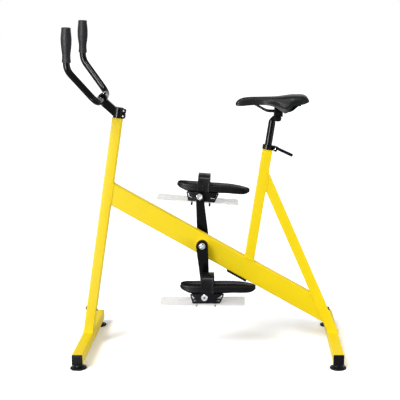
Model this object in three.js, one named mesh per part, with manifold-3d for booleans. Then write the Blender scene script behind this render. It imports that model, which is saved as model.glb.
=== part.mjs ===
import * as THREE from 'three';
import { mergeVertices } from 'three/addons/utils/BufferGeometryUtils.js';
import Module from 'manifold-3d';

const wasm = await Module();
wasm.setup();

// Aqua bike. Millimetres, +Z up, the front wheel side of a bicycle towards -X, the rider's left towards -Y.
// The origin is on the floor, midway between the two base tubes.

// Running and welding clearances
const seam = 0.3;
const runningGap = 0.4;
const cutOverrun = 90;

// Base tubes with their plugs and feet
const baseSpacing = 965;
const baseWidth = 540;
const baseTube = 40;
const tubeWall = 2;
const footHeight = 20;
const footRadius = 31.5;
const footNeckRadius = 17;
const footLipHeight = 5;
const footInset = 25.5;
const footStemRadius = 5;
const footStemLength = 12;
const footShoulderShare = 1.6;
const footWaistShare = 0.6;
const capThickness = 4;
const capPlugDepth = 12;
const capChamfer = 1.2;
const baseTop = footHeight + baseTube;

// Square legs, seat tube and the deep main beam
const legTube = 38;
const postLean = THREE.MathUtils.degToRad(9.2);
const postLength = 854;
const stayLean = THREE.MathUtils.degToRad(23.45);
const beamHeight = 78.5;
const beamSlope = THREE.MathUtils.degToRad(29.75);
const seatTubeAheadOfRearBase = 260.9;
const seatTubeTopX = baseSpacing / 2 - seatTubeAheadOfRearBase;
const seatTubeTopZ = 783.5;

// Socketed joints between the legs and the base tubes
const stubHeight = 110;
const stubWall = 2.5;
const legBoltHeight = 92;
const legBoltRadius = 4;
const legBoltHeadFlats = 13;
const legBoltHeadHeight = 5.3;
const legBoltTail = 4;
const weldNutHeight = 6;

// Rubber pad under the beam
const padLength = 86;
const padWidth = 30;
const padThickness = 9;
const padFromCrank = 177;
const padCornerRadius = 4;

// Bottom bracket and cranks
const crankX = -28.7;
const crankZ = 418.9;
const crankAboveBeam = 2.5;
const shellRadius = 21;
const shellWall = 3;
const shellHalfWidth = 34;
const cupFlangeRadius = 20.5;
const cupFlangeThickness = 2.6;
const cupDepth = 14;
const spindleRadius = 8.5;
const spindleSquare = 13;
const spindleSquareLength = 13;
const crankInnerFace = 40;
const crankThickness = 18;
const crankLength = 175;
const crankBossRadius = 23;
const crankEyeRadius = 15;
const crankAngle = THREE.MathUtils.degToRad(4);
const crankBevel = 2;
const crankPocketDepth = 2;
const crankPocketInset = 5.5;
const crankPocketFromBoss = 40;
const crankPocketFromEye = 24;
const crankBoltFlangeRadius = 12.5;
const crankBoltFlangeThickness = 1.6;
const crankBoltFlats = 15;
const crankBoltHeadHeight = 2.8;
const crankBoltShankRadius = 4;
const crankBoltShankLength = 16;

// Pedals, measured from each pedal's axle
const pedalWidth = 90;
const pedalGap = 4;
const axleRadius = 7;
const axleHeadRadius = 12;
const axleHeadThickness = 6;
const axleSocketShare = 0.4;
const axleNutRadius = 12.5;
const axleNutThickness = 6;
const rightPedalTilt = THREE.MathUtils.degToRad(4.3);
const bracketPlate = 4;
const bracketBottom = -23.5;
const bracketTop = 13;
const bracketFrontTop = -54;
const bracketFrontBottom = -45;
const bracketRearBottom = 58.5;
const bracketRearTop = 75;
const bracketHubRadius = 12;
const bracketWindowRim = 4;
const bracketWindowCornerShare = 1.5;
const bracketWindowFront = 28;
const bracketWindowRear = 32;
const bracketWindowRise = 10;
const bracketSpineWidth = 18;
const bedFront = -93;
const bedRear = 193;
const bedHalfWidth = 42;
const bedRim = 42;
const bedDish = 15;
const bedRimWidth = 6;
const bedSideLow = 4;
const bedFloorShare = 0.7;
const strapWidth = 46.5;
const strapCentre = 11.5;
const strapThickness = 2.6;
const strapTop = 82;
const strapBottom = 15;
const strapShoulder = 52;
const plateLength = 322;
const plateWidth = 104;
const plateThickness = 4;
const plateCentre = -9;
const plateFromCrank = 3;
const plateCorner = 8;
const plateScrewFront = -32;
const plateScrewRear = 39;
const plateScrewRadius = 2.5;
const plateScrewHeadRadius = 4.5;
const plateScrewHeadHeight = 3;
const plateScrewLength = 22;

// Seat post, its sleeve and its quick-release collar
const seatPostRadius = 13.6;
const seatPostInsertion = 190;
const seatPostExposed = 114;
const sleeveWall = 2;
const sleevePlate = 2.5;
const sleeveDepth = 80;
const sleeveStandsProud = 19.3;
const sleeveSlot = 2.5;
const collarWall = 4.7;
const collarHeight = 17;
const collarEarLength = 19;
const collarEarHalfWidth = 8;
const skewerBehindAxis = 29;
const skewerRadius = 2.5;
const skewerNutRadius = 7;
const skewerNutThickness = 6;
const leverHubRadius = 8;
const leverHubHeight = 20;
const leverPinRadius = 2.5;
const leverLength = 70;
const leverWidth = 11;
const leverThickness = 4.5;
const leverLift = 4.2;
const leverDrop = THREE.MathUtils.degToRad(15.3);
const leverForkGap = 6.4;
const leverRootShare = 0.35;
const leverOuterBendShare = 0.7;
const leverInnerBendShare = 0.8;

// Saddle, clamp and rails, measured from the middle of the rails' flat stretch
const clampBehindPost = 20;
const clampHeadRadius = 12.5;
const clampHeadHalfWidth = 17;
const neckWidthShare = 0.55;
const neckFrontShare = 0.8;
const neckRearShare = 0.9;
const neckRiseShare = 0.62;
const neckCrownShare = 1.6;
const neckBrowShare = 1.6;
const neckBrowRiseShare = 1.48;
const neckFrontRiseShare = 0.32;
const cradleHugShare = 0.4;
const clampHalfWidth = 28;
const cradleLength = 34;
const upperClampLength = 30;
const upperClampHeight = 11;
const railHeightAboveHead = 14.5;
const clampBoltRadius = 4;
const clampBoltHeadRadius = 6.5;
const clampBoltHeadHeight = 5;
const clampBoltNutHeight = 7;
const saddleTiltRange = THREE.MathUtils.degToRad(8);
const railRadius = 3.5;
const railHalfSpacing = 22;
const railNoseHalfSpacing = 6;
const railNoseRise = 29;
const railRearRise = 30;
const railBend = 14;
const railSocketWall = 3;
const railSocketLength = 16;
const railNoseSocketWall = 0.8;
const saddleLength = 275.4;
const saddleAheadShare = 0.5824;
const railNoseShare = 0.4285;
const railNoseStraightShare = 0.0871;
const railFlatFrontShare = 0.1525;
const railFlatRearShare = 0.1743;
const railRearShare = 0.2977;
const saddleNose = -saddleLength * saddleAheadShare;
const railNose = -saddleLength * railNoseShare;
const railNoseStraight = saddleLength * railNoseStraightShare;
const railFlatFront = -saddleLength * railFlatFrontShare;
const railFlatRear = saddleLength * railFlatRearShare;
const railRear = saddleLength * railRearShare;
const saddleHalfWidth = 74;
const saddleHeight = 64;
const saddleBase = -2;
const foamThickness = 11;
const foamSide = 6;
const shellThickness = 3;

// Handlebar stem on its steerer
const steererRadius = 14.3;
const steererWall = 2.2;
const steererDepth = 45;
const postPlate = 3;
const stemBarrelHeight = 40;
const stemBarrelRadius = 18.5;
const stemTopThickness = 4;
const stemTopRound = 3;
const stemReach = 66;
const stemRise = 43;
const stemBodyWidth = 26;
const stemBodyDepth = 32;
const stemBodyDrop = 6.3;
const stemClampWall = 6.5;
const stemClampHalfWidth = 21;
const stemFaceGap = 2;
const barRoll = THREE.MathUtils.degToRad(4.1);
const stemFaceStepShare = 1.4;
const stemEarLength = 10;
const stemEarHalfWidth = 10;
const stemEarBoltShare = 0.15;
const stemSlit = 2;
const pinchBoltRadius = 2.5;
const pinchBoltHeadRadius = 4.3;
const pinchBoltHeadHeight = 5;
const pinchBoltInset = 10;

// Handlebar and grips, measured from the middle of the bar in its clamp
const barRadius = 12.7;
const barWall = 2;
const barHalfStraight = 118;
const barArmForward = 98;
const barArmRise = 128;
const barGripHalfSpacing = 160;
const barBendLength = 38;
const armBendLength = 24;
const gripLean = THREE.MathUtils.degToRad(2.4);
const gripTopAboveBar = 277;
const gripLength = 123;
const gripEndThickness = 6;
const gripFlangeRadius = 16.4;
const gripFlangeThickness = 4;
const gripNarrowRadius = 15;
const gripBulgeRadius = 19.4;
const gripTopRadius = 16.6;
const gripEdgeRound = 4;

// Smoothness of the round shapes
const fineSides = 28;
const roundSides = 20;
const smallSides = 12;
const barSides = 14;
const railSides = 10;
const bendSteps = 6;

function material(color, roughness, metalness) {
  return new THREE.MeshStandardMaterial({ color, roughness, metalness });
}

const yellowCoat = material(0xf7d51a, 0.35, 0.0);
const blackPlastic = material(0x17171a, 0.45, 0.0);
const blackRubber = material(0x101012, 0.6, 0.0);
const blackCoat = material(0x141416, 0.25, 0.0);
const gripFoam = material(0x3b393e, 0.85, 0.0);
const saddleSkin = material(0x1d1d20, 0.4, 0.0);
const strapRubber = material(0x131315, 0.55, 0.0);
const brightSteel = material(0xd8d9dc, 0.3, 1.0);
const clearPlate = material(0xeeeeea, 0.4, 0.0);

// Boolean work on closed geometries

function solidOf(geometry) {
  const bare = geometry.clone();
  bare.deleteAttribute('normal');
  bare.deleteAttribute('uv');
  const merged = mergeVertices(bare);
  return new wasm.Manifold(new wasm.Mesh({
    numProp: 3,
    vertProperties: new Float32Array(merged.attributes.position.array),
    triVerts: new Uint32Array(merged.index.array),
  }));
}

function geometryOf(solid) {
  const mesh = solid.getMesh();
  const geometry = new THREE.BufferGeometry();
  geometry.setAttribute('position', new THREE.BufferAttribute(new Float32Array(mesh.vertProperties), 3));
  geometry.setIndex(new THREE.BufferAttribute(new Uint32Array(mesh.triVerts), 1));
  return geometry;
}

function join(first, ...others) {
  return geometryOf(others.reduce((sum, other) => sum.add(solidOf(other)), solidOf(first)));
}

function cut(body, ...tools) {
  return geometryOf(tools.reduce((rest, tool) => rest.subtract(solidOf(tool)), solidOf(body)));
}

function common(first, second) {
  return geometryOf(solidOf(first).intersect(solidOf(second)));
}

// Simple shapes, each stated where it lies in its own group

function block(x0, x1, y0, y1, z0, z1) {
  const geometry = new THREE.BoxGeometry(x1 - x0, y1 - y0, z1 - z0);
  return geometry.translate((x0 + x1) / 2, (y0 + y1) / 2, (z0 + z1) / 2);
}

function cylinderAlongY(radius, y0, y1, x = 0, z = 0, sides = roundSides) {
  const geometry = new THREE.CylinderGeometry(radius, radius, y1 - y0, sides);
  return geometry.translate(x, (y0 + y1) / 2, z);
}

function cylinderAlongZ(radius, z0, z1, x = 0, y = 0, sides = roundSides) {
  const geometry = new THREE.CylinderGeometry(radius, radius, z1 - z0, sides);
  return geometry.rotateX(Math.PI / 2).translate(x, y, (z0 + z1) / 2);
}

function cylinderAlongX(radius, x0, x1, y = 0, z = 0, sides = roundSides) {
  const geometry = new THREE.CylinderGeometry(radius, radius, x1 - x0, sides);
  return geometry.rotateZ(Math.PI / 2).translate((x0 + x1) / 2, y, z);
}

function hexRadius(flats) {
  return flats / Math.sqrt(3);
}

function squareTubeAlongZ(side, wall, z0, z1) {
  const half = side / 2;
  const bore = half - wall;
  return cut(
    block(-half, half, -half, half, z0, z1),
    block(-bore, bore, -bore, bore, z0 - cutOverrun, z1 + cutOverrun),
  );
}

function turned(points, sides = roundSides) {
  const profile = points.map(([radius, height]) => new THREE.Vector2(radius, height));
  return new THREE.LatheGeometry(profile, sides).rotateX(Math.PI / 2);
}

// The triangles that fill a flat ring, which may fold back on itself, each with its points in ring order
function capFaces(ring) {
  const normal = new THREE.Vector3();
  ring.forEach((point, i) => normal.add(point.clone().cross(ring[(i + 1) % ring.length])));
  const [x, y, z] = normal.toArray().map(Math.abs);
  const outline = ring.map((point) => {
    if (x >= y && x >= z) return new THREE.Vector2(point.y, point.z);
    return y >= z ? new THREE.Vector2(point.z, point.x) : new THREE.Vector2(point.x, point.y);
  });
  return THREE.ShapeUtils.triangulateShape(outline, []).map((face) => face.sort((a, b) => a - b));
}

// A skin over rings of points with flat ends, each face split along its shorter diagonal
function loft(rings) {
  const count = rings[0].length;
  const positions = [];
  const index = [];
  rings.forEach((ring) => ring.forEach((point) => positions.push(point.x, point.y, point.z)));
  for (let i = 0; i + 1 < rings.length; i += 1) {
    for (let j = 0; j < count; j += 1) {
      const k = (j + 1) % count;
      const a = i * count + j;
      const b = i * count + k;
      const rising = rings[i][j].distanceTo(rings[i + 1][k]);
      const falling = rings[i][k].distanceTo(rings[i + 1][j]);
      if (falling <= rising) index.push(a, b, a + count, b, b + count, a + count);
      else index.push(a, b, b + count, a, b + count, a + count);
    }
  }
  const last = rings.length - 1;
  const end = last * count;
  capFaces(rings[0]).forEach(([a, b, c]) => index.push(a, c, b));
  capFaces(rings[last]).forEach(([a, b, c]) => index.push(end + a, end + b, end + c));
  const geometry = new THREE.BufferGeometry();
  geometry.setAttribute('position', new THREE.Float32BufferAttribute(positions, 3));
  geometry.setIndex(index);
  return geometry;
}

function rounded(x0, x1, y0, y1, radius) {
  const shape = new THREE.Shape();
  shape.moveTo(x0 + radius, y0);
  shape.lineTo(x1 - radius, y0);
  shape.absarc(x1 - radius, y0 + radius, radius, -Math.PI / 2, 0);
  shape.absarc(x1 - radius, y1 - radius, radius, 0, Math.PI / 2);
  shape.absarc(x0 + radius, y1 - radius, radius, Math.PI / 2, Math.PI);
  shape.absarc(x0 + radius, y0 + radius, radius, Math.PI, 1.5 * Math.PI);
  return shape;
}

function flatPlate(shape, z0, z1, curveSegments = 4) {
  const geometry = new THREE.ExtrudeGeometry(shape, { depth: z1 - z0, bevelEnabled: false, curveSegments });
  return geometry.translate(0, 0, z0);
}

// A side outline drawn in X and Z, given its thickness along Y
function sidePlate(shape, y0, y1, curveSegments = 12) {
  const geometry = new THREE.ExtrudeGeometry(shape, { depth: y1 - y0, bevelEnabled: false, curveSegments });
  return geometry.rotateX(Math.PI / 2).translate(0, y1, 0);
}

// Points along straight runs between corners [x, y, z, length taken by the bend]
function route(corners) {
  const at = corners.map(([x, y, z]) => new THREE.Vector3(x, y, z));
  const last = corners.length - 1;
  const toward = (from, to, length) => {
    const step = to.clone().sub(from).normalize();
    return from.clone().addScaledVector(step, length);
  };
  const points = [at[0]];
  for (let i = 1; i < last; i += 1) {
    const bend = new THREE.QuadraticBezierCurve3(
      toward(at[i], at[i - 1], corners[i][3]), at[i], toward(at[i], at[i + 1], corners[i][3]));
    points.push(...bend.getPoints(bendSteps));
  }
  points.push(at[last]);
  return points.filter((point, i) => i === 0 || point.distanceTo(points[i - 1]) > seam);
}

// A round rod through a list of points, its section carried along without twisting
function bentRod(points, radius, sides) {
  const last = points.length - 1;
  const tangents = points.map((point, i) => {
    const before = point.clone().sub(points[Math.max(i - 1, 0)]).normalize();
    const after = points[Math.min(i + 1, last)].clone().sub(point).normalize();
    return before.add(after).normalize();
  });
  const first = new THREE.Vector3(1, 0, 0);
  if (Math.abs(first.dot(tangents[0])) > Math.SQRT1_2) first.set(0, 0, 1);
  let normal = first.cross(tangents[0]).normalize();
  const rings = points.map((point, i) => {
    const tangent = tangents[i];
    if (i > 0) {
      const turn = new THREE.Quaternion().setFromUnitVectors(tangents[i - 1], tangent);
      normal = normal.clone().applyQuaternion(turn);
    }
    const binormal = tangent.clone().cross(normal);
    return Array.from({ length: sides }, (_, j) => {
      const angle = (2 * Math.PI * j) / sides;
      return point.clone().addScaledVector(normal, radius * Math.cos(angle))
        .addScaledVector(binormal, radius * Math.sin(angle));
    });
  });
  return loft(rings);
}

function frame(x, z, lean) {
  const group = new THREE.Group();
  group.position.set(x, 0, z);
  group.rotation.y = lean;
  group.updateMatrixWorld(true);
  return group;
}

function carried(geometry, from, to) {
  const matrix = to.matrixWorld.clone().invert().multiply(from.matrixWorld);
  return geometry.clone().applyMatrix4(matrix);
}

const bike = new THREE.Group();
const world = frame(0, 0, 0);
const postFrame = frame(-baseSpacing / 2, baseTop, postLean);
const stayFrame = frame(baseSpacing / 2, baseTop, -stayLean);
const beamFrame = frame(crankX, crankZ - crankAboveBeam, beamSlope);
const crankFrame = frame(crankX, crankZ, 0);
const seatFrame = frame(seatTubeTopX, seatTubeTopZ, postLean);
bike.add(world, postFrame, stayFrame, beamFrame, crankFrame, seatFrame);

function add(parent, name, geometry, finish, x = 0, y = 0, z = 0) {
  const mesh = new THREE.Mesh(geometry, finish);
  mesh.name = name;
  mesh.position.set(x, y, z);
  parent.add(mesh);
  return mesh;
}

const halfLeg = legTube / 2;
const halfBeam = beamHeight / 2;
const farReach = baseSpacing + postLength;

// Everything beyond a flat face, as a block to cut with, in the frame that the face belongs to
const slab = {
  below: (z) => block(-farReach, farReach, -farReach, farReach, z - farReach, z),
  before: (x) => block(x - farReach, x, -farReach, farReach, -farReach, farReach),
  behind: (x) => block(x, x + farReach, -farReach, farReach, -farReach, farReach),
};

// Frame tubes

function legBoltHole(side) {
  return cylinderAlongX(legBoltRadius + runningGap, -side, side, 0, legBoltHeight, smallSides);
}

function buildPost() {
  const tube = squareTubeAlongZ(legTube, tubeWall, -cutOverrun / 2, postLength);
  const floor = carried(slab.below(baseTop + seam), world, postFrame);
  add(postFrame, 'front_post', cut(tube, floor, legBoltHole(legTube)), yellowCoat);
}

function buildStay() {
  const tube = squareTubeAlongZ(legTube, tubeWall, -cutOverrun / 2, farReach);
  const floor = carried(slab.below(baseTop + seam), world, stayFrame);
  const seatFace = carried(slab.before(halfLeg + seam), seatFrame, stayFrame);
  add(stayFrame, 'rear_stay', cut(tube, floor, seatFace, legBoltHole(legTube)), yellowCoat);
}

function buildBeam() {
  const bore = halfBeam - tubeWall;
  const inner = halfLeg - tubeWall;
  const tube = cut(
    block(-farReach, farReach, -halfLeg, halfLeg, -halfBeam, halfBeam),
    block(-farReach - cutOverrun, farReach + cutOverrun, -inner, inner, -bore, bore),
  );
  const postFace = carried(slab.before(halfLeg + seam), postFrame, beamFrame);
  const stayFace = carried(slab.behind(-halfLeg - seam), stayFrame, beamFrame);
  const shellRoom = cylinderAlongY(shellRadius + seam, -legTube, legTube, 0, 0, fineSides);
  const shellHole = carried(shellRoom, crankFrame, beamFrame);
  add(beamFrame, 'main_beam', cut(tube, postFace, stayFace, shellHole), yellowCoat);
  const pad = rounded(padFromCrank - padLength / 2, padFromCrank + padLength / 2,
    -padWidth / 2, padWidth / 2, padCornerRadius);
  const padTop = -halfBeam - seam;
  add(beamFrame, 'beam_pad', flatPlate(pad, padTop - padThickness, padTop), blackRubber);
}

function buildSeatTube() {
  const tube = squareTubeAlongZ(legTube, tubeWall, -farReach, 0);
  const beamTop = carried(slab.below(halfBeam + seam), beamFrame, seatFrame);
  add(seatFrame, 'seat_tube', cut(tube, beamTop), yellowCoat);
}

// Base tubes: a cross tube with a leaning stub that the leg slides over and is bolted to

function baseStub(legFrame, boltSide) {
  const outer = legTube - 2 * (tubeWall + seam);
  const half = outer / 2;
  const stub = squareTubeAlongZ(outer, stubWall, -baseTube, stubHeight);
  const nutInner = half - stubWall - weldNutHeight;
  const nut = cylinderAlongX(hexRadius(legBoltHeadFlats), nutInner, half - stubWall / 2, 0, legBoltHeight, 6);
  const turnedNut = boltSide > 0 ? nut.rotateZ(Math.PI) : nut;
  const whole = cut(join(stub, turnedNut), legBoltHole(legTube));
  return carried(whole, legFrame, world);
}

function buildBase(name, x, legFrame, boltSide) {
  const half = baseTube / 2;
  const halfLength = baseWidth / 2 - capThickness;
  const bore = half - tubeWall;
  const centreZ = footHeight + half;
  const bottom = footHeight;
  const tube = block(x - half, x + half, -halfLength, halfLength, bottom, baseTop);
  const floor = carried(slab.below(baseTop - tubeWall / 2), world, world);
  const stub = cut(baseStub(legFrame, boltSide), floor);
  const hollow = block(x - bore, x + bore, -halfLength - cutOverrun, halfLength + cutOverrun,
    centreZ - bore, centreZ + bore);
  const holes = [-1, 1].map((side) => cylinderAlongZ(footStemRadius + seam, bottom - tubeWall,
    bottom + 2 * tubeWall, x, side * (baseWidth / 2 - footInset), smallSides));
  add(world, `${name}_base_tube`, cut(join(tube, stub), hollow, ...holes), yellowCoat);
}

function buildLegBolt(name, legFrame, side) {
  const headInner = halfLeg + seam;
  const head = cylinderAlongX(hexRadius(legBoltHeadFlats), headInner, headInner + legBoltHeadHeight,
    0, legBoltHeight, 6);
  const shank = cylinderAlongX(legBoltRadius, -halfLeg - legBoltTail, headInner + legBoltHeadHeight / 2,
    0, legBoltHeight, smallSides);
  const bolt = join(head, shank);
  add(legFrame, name, side > 0 ? bolt : bolt.rotateZ(Math.PI), brightSteel);
}

function buildCap(name, x, side) {
  const half = baseTube / 2;
  const plug = half - tubeWall - seam;
  const face = baseWidth / 2;
  const lip = face - capThickness;
  const outer = rounded(-half, half, -half, half, 2 * capChamfer);
  const bevel = { depth: capThickness - capChamfer, bevelThickness: capChamfer, bevelSize: capChamfer,
    bevelOffset: -capChamfer, bevelSegments: 2, curveSegments: 3 };
  const pressed = new THREE.ExtrudeGeometry(outer, bevel);
  const front = common(pressed.rotateX(Math.PI / 2).translate(0, face - capChamfer, 0),
    block(-half, half, lip, face, -half, half));
  const insert = block(-plug, plug, lip - capPlugDepth, lip + capThickness / 2, -plug, plug);
  const cap = join(front, insert);
  add(world, name, side > 0 ? cap : cap.rotateZ(Math.PI), blackPlastic, x, 0, footHeight + half);
}

function buildFoot(name, x, side) {
  const profile = [
    [0, 0],
    [footRadius - footLipHeight / 4, 0],
    [footRadius, footLipHeight / 2],
    [footRadius - footLipHeight / 4, footLipHeight],
    [footNeckRadius + footLipHeight, footLipHeight * footShoulderShare],
    [footNeckRadius, footHeight * footWaistShare],
    [footNeckRadius, footHeight],
    [footStemRadius, footHeight],
    [footStemRadius, footHeight + footStemLength],
    [0, footHeight + footStemLength],
  ];
  add(world, name, turned(profile, fineSides), blackRubber, x, side * (baseWidth / 2 - footInset), 0);
}

function buildBases() {
  const ends = [['front', -baseSpacing / 2, postFrame, -1], ['rear', baseSpacing / 2, stayFrame, 1]];
  for (const [name, x, legFrame, boltSide] of ends) {
    buildBase(name, x, legFrame, boltSide);
    buildLegBolt(`${name}_leg_bolt`, legFrame, boltSide);
    for (const [sideName, side] of [['left', -1], ['right', 1]]) {
      buildCap(`${name}_cap_${sideName}`, x, side);
      buildFoot(`${name}_foot_${sideName}`, x, side);
    }
  }
}

// Bottom bracket and cranks, built around the crank axis

const spindleEnd = crankInnerFace + spindleSquareLength - runningGap;
const crankOuterFace = crankInnerFace + crankThickness;

function buildBottomBracket() {
  const shell = cut(
    cylinderAlongY(shellRadius, -shellHalfWidth, shellHalfWidth, 0, 0, fineSides),
    cylinderAlongY(shellRadius - shellWall, -cutOverrun, cutOverrun, 0, 0, fineSides),
  );
  add(crankFrame, 'bb_shell', shell, yellowCoat);
  for (const [sideName, side] of [['left', -1], ['right', 1]]) {
    const flange = cylinderAlongY(cupFlangeRadius, shellHalfWidth, shellHalfWidth + cupFlangeThickness);
    const ring = cylinderAlongY(shellRadius - shellWall - seam, shellHalfWidth - cupDepth,
      shellHalfWidth + cupFlangeThickness / 2);
    const bore = cylinderAlongY(spindleRadius + runningGap, -cutOverrun, cutOverrun);
    const cup = cut(join(flange, ring), bore);
    add(crankFrame, `bb_cup_${sideName}`, side > 0 ? cup : cup.rotateZ(Math.PI), blackPlastic);
  }
  const half = spindleSquare / 2;
  const round = cylinderAlongY(spindleRadius, -crankInnerFace, crankInnerFace);
  const square = common(cylinderAlongY(spindleRadius, -spindleEnd, spindleEnd),
    block(-half, half, -spindleEnd, spindleEnd, -half, half));
  const boltHole = cylinderAlongY(crankBoltShankRadius + runningGap, spindleEnd - crankBoltShankLength,
    spindleEnd + cutOverrun);
  const spindle = cut(join(round, square), boltHole, boltHole.clone().rotateZ(Math.PI));
  add(crankArms, 'bb_spindle', spindle, brightSteel);
}

// The cranks' own group turns by the rest angle; the left arm points down in it
const crankArms = new THREE.Group();
crankArms.rotation.y = -crankAngle;
crankFrame.add(crankArms);
crankFrame.updateMatrixWorld(true);

function crankOutline(bossRadius, eyeRadius) {
  const tilt = Math.asin((bossRadius - eyeRadius) / crankLength);
  const shape = new THREE.Shape();
  shape.absarc(0, 0, bossRadius, -tilt, Math.PI + tilt, false);
  shape.absarc(0, -crankLength, eyeRadius, Math.PI + tilt, 2 * Math.PI - tilt, false);
  return shape;
}

function buildCrank(sideName, side) {
  const outline = crankOutline(crankBossRadius - crankBevel, crankEyeRadius - crankBevel);
  const arm = new THREE.ExtrudeGeometry(outline, { depth: crankThickness - 2 * crankBevel,
    bevelThickness: crankBevel, bevelSize: crankBevel, bevelSegments: 1, curveSegments: 10 });
  const body = arm.rotateX(Math.PI / 2).translate(0, crankOuterFace - crankBevel, 0);
  const taper = (crankBossRadius - crankEyeRadius) / crankLength;
  const pocketTop = crankBossRadius - taper * crankPocketFromBoss - crankPocketInset;
  const pocketEnd = crankEyeRadius + taper * crankPocketFromEye - crankPocketInset;
  const pocket = new THREE.Shape();
  pocket.moveTo(-pocketTop, -crankPocketFromBoss);
  pocket.lineTo(-pocketEnd, crankPocketFromEye - crankLength);
  pocket.lineTo(pocketEnd, crankPocketFromEye - crankLength);
  pocket.lineTo(pocketTop, -crankPocketFromBoss);
  const half = spindleSquare / 2 + runningGap / 2;
  const boltSeat = crankInnerFace + spindleSquareLength;
  const arms = cut(
    body,
    block(-half, half, 0, boltSeat + cutOverrun, -half, half),
    cylinderAlongY(crankBoltFlangeRadius + runningGap, boltSeat, boltSeat + cutOverrun),
    cylinderAlongY(axleRadius + runningGap, 0, crankOuterFace + cutOverrun, 0, -crankLength),
    sidePlate(pocket, crankOuterFace - crankPocketDepth, crankOuterFace + cutOverrun),
  );
  const crank = side > 0 ? arms.rotateY(Math.PI) : arms.rotateZ(Math.PI);
  add(crankArms, `crank_${sideName}`, crank, blackCoat);
}

function buildCrankBolt(sideName, side) {
  const seat = crankInnerFace + spindleSquareLength + runningGap / 2;
  const flange = cylinderAlongY(crankBoltFlangeRadius, seat, seat + crankBoltFlangeThickness);
  const headTop = seat + crankBoltFlangeThickness + crankBoltHeadHeight;
  const head = cylinderAlongY(hexRadius(crankBoltFlats), seat, headTop, 0, 0, 6);
  const shank = cylinderAlongY(crankBoltShankRadius, seat - crankBoltShankLength + runningGap,
    seat + crankBoltFlangeThickness / 2, 0, 0, smallSides);
  const bolt = join(flange, head, shank);
  add(crankArms, `crank_bolt_${sideName}`, side > 0 ? bolt : bolt.rotateZ(Math.PI), brightSteel);
}

// Pedals: each hangs on its axle, with the foot towards -X

const pedalInner = crankOuterFace + pedalGap;
const pedalMiddle = pedalInner + pedalWidth / 2;

function axlePlace(side) {
  const reach = side * crankLength;
  return { x: crankX - reach * Math.sin(crankAngle), z: crankZ + reach * Math.cos(crankAngle) };
}

function buildAxle(sideName, side) {
  const outerFace = pedalInner + pedalWidth + runningGap;
  const innerFace = crankInnerFace - axleNutThickness - runningGap;
  const head = cylinderAlongY(axleHeadRadius, outerFace, outerFace + axleHeadThickness);
  const shaft = cylinderAlongY(axleRadius, innerFace, outerFace + axleHeadThickness / 2);
  const socketFloor = outerFace + axleHeadThickness * (1 - axleSocketShare);
  const cap = cut(head, cylinderAlongY(axleRadius / 2, socketFloor, outerFace + cutOverrun, 0, 0, 6));
  const nutBody = cylinderAlongY(axleNutRadius, crankInnerFace - axleNutThickness - runningGap / 2,
    crankInnerFace - runningGap / 2);
  const nut = cut(nutBody, cylinderAlongY(axleRadius + seam, 0, cutOverrun));
  const axle = join(cap, shaft);
  const z = side > 0 ? crankLength : -crankLength;
  add(crankArms, `pedal_axle_${sideName}`, side > 0 ? axle : axle.rotateZ(Math.PI), brightSteel, 0, 0, z);
  add(crankArms, `pedal_axle_nut_${sideName}`, side > 0 ? nut : nut.rotateZ(Math.PI), brightSteel, 0, 0, z);
}

function bracketGeometry() {
  const side = new THREE.Shape();
  side.moveTo(bracketFrontTop, bracketTop);
  side.lineTo(bracketFrontBottom, bracketBottom);
  side.lineTo(bracketRearBottom, bracketBottom);
  side.lineTo(bracketRearTop, bracketTop);
  const rim = bracketWindowRim;
  const low = bracketBottom + rim;
  const high = bracketTop - rim;
  const corner = rim * bracketWindowCornerShare;
  const windows = [
    [[bracketFrontTop + corner, high], [bracketFrontBottom + rim, low],
      [-bracketWindowFront, low + bracketWindowRise]],
    [[bracketRearTop - corner, high], [bracketWindowRear, low + bracketWindowRise],
      [bracketRearBottom - rim, low]],
  ];
  for (const corners of windows) {
    const window = new THREE.Path(corners.map(([x, z]) => new THREE.Vector2(x, z)));
    side.holes.push(window);
  }
  const half = pedalWidth / 2;
  const spine = bracketSpineWidth / 2;
  const floor = bracketBottom + bracketPlate;
  const plates = [
    sidePlate(side, -half, -half + bracketPlate),
    sidePlate(side, half - bracketPlate, half),
    block(bracketFrontBottom, bracketRearBottom, -spine, spine, bracketBottom, floor),
    block(-bracketHubRadius, bracketHubRadius, -half, half, bracketBottom, floor),
    cylinderAlongY(bracketHubRadius, -half, half),
    block(bracketFrontTop + rim, bracketRearTop - rim, -half + bracketPlate, half - bracketPlate,
      bracketTop - bracketPlate, bracketTop),
    block(-bracketHubRadius / 2, bracketHubRadius / 2, -half, half, bracketBottom, bracketTop),
  ];
  const screwHoles = [plateScrewFront, plateScrewRear].map((x) => cylinderAlongZ(plateScrewRadius + seam,
    bracketBottom - bracketPlate, bracketBottom + 2 * bracketPlate, x, 0, smallSides));
  const axleBore = cylinderAlongY(axleRadius + runningGap, -cutOverrun, cutOverrun);
  return cut(join(...plates), axleBore, ...screwHoles);
}

// Foot bed: shares of its length from toe to heel, of its half width, and of its depth from rim to bracket
const bedShares = [
  { along: 0, width: 0.42, rim: 0.98, low: 0.68 },
  { along: 0.025, width: 0.64, rim: 1.02, low: 0.52 },
  { along: 0.08, width: 0.83, rim: 1.02, low: 0.3 },
  { along: 0.15, width: 0.94, rim: 0.98, low: 0 },
  { along: 0.25, width: 1, rim: 0.97, low: 0 },
  { along: 0.46, width: 1, rim: 0.97, low: 0 },
  { along: 0.58, width: 0.97, rim: 0.99, low: 0.02 },
  { along: 0.7, width: 0.93, rim: 1, low: 0.18 },
  { along: 0.8, width: 0.9, rim: 0.99, low: 0.14 },
  { along: 0.9, width: 0.79, rim: 0.93, low: 0.11 },
  { along: 0.965, width: 0.58, rim: 0.85, low: 0.2 },
  { along: 1, width: 0.34, rim: 0.76, low: 0.38 },
];

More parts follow.
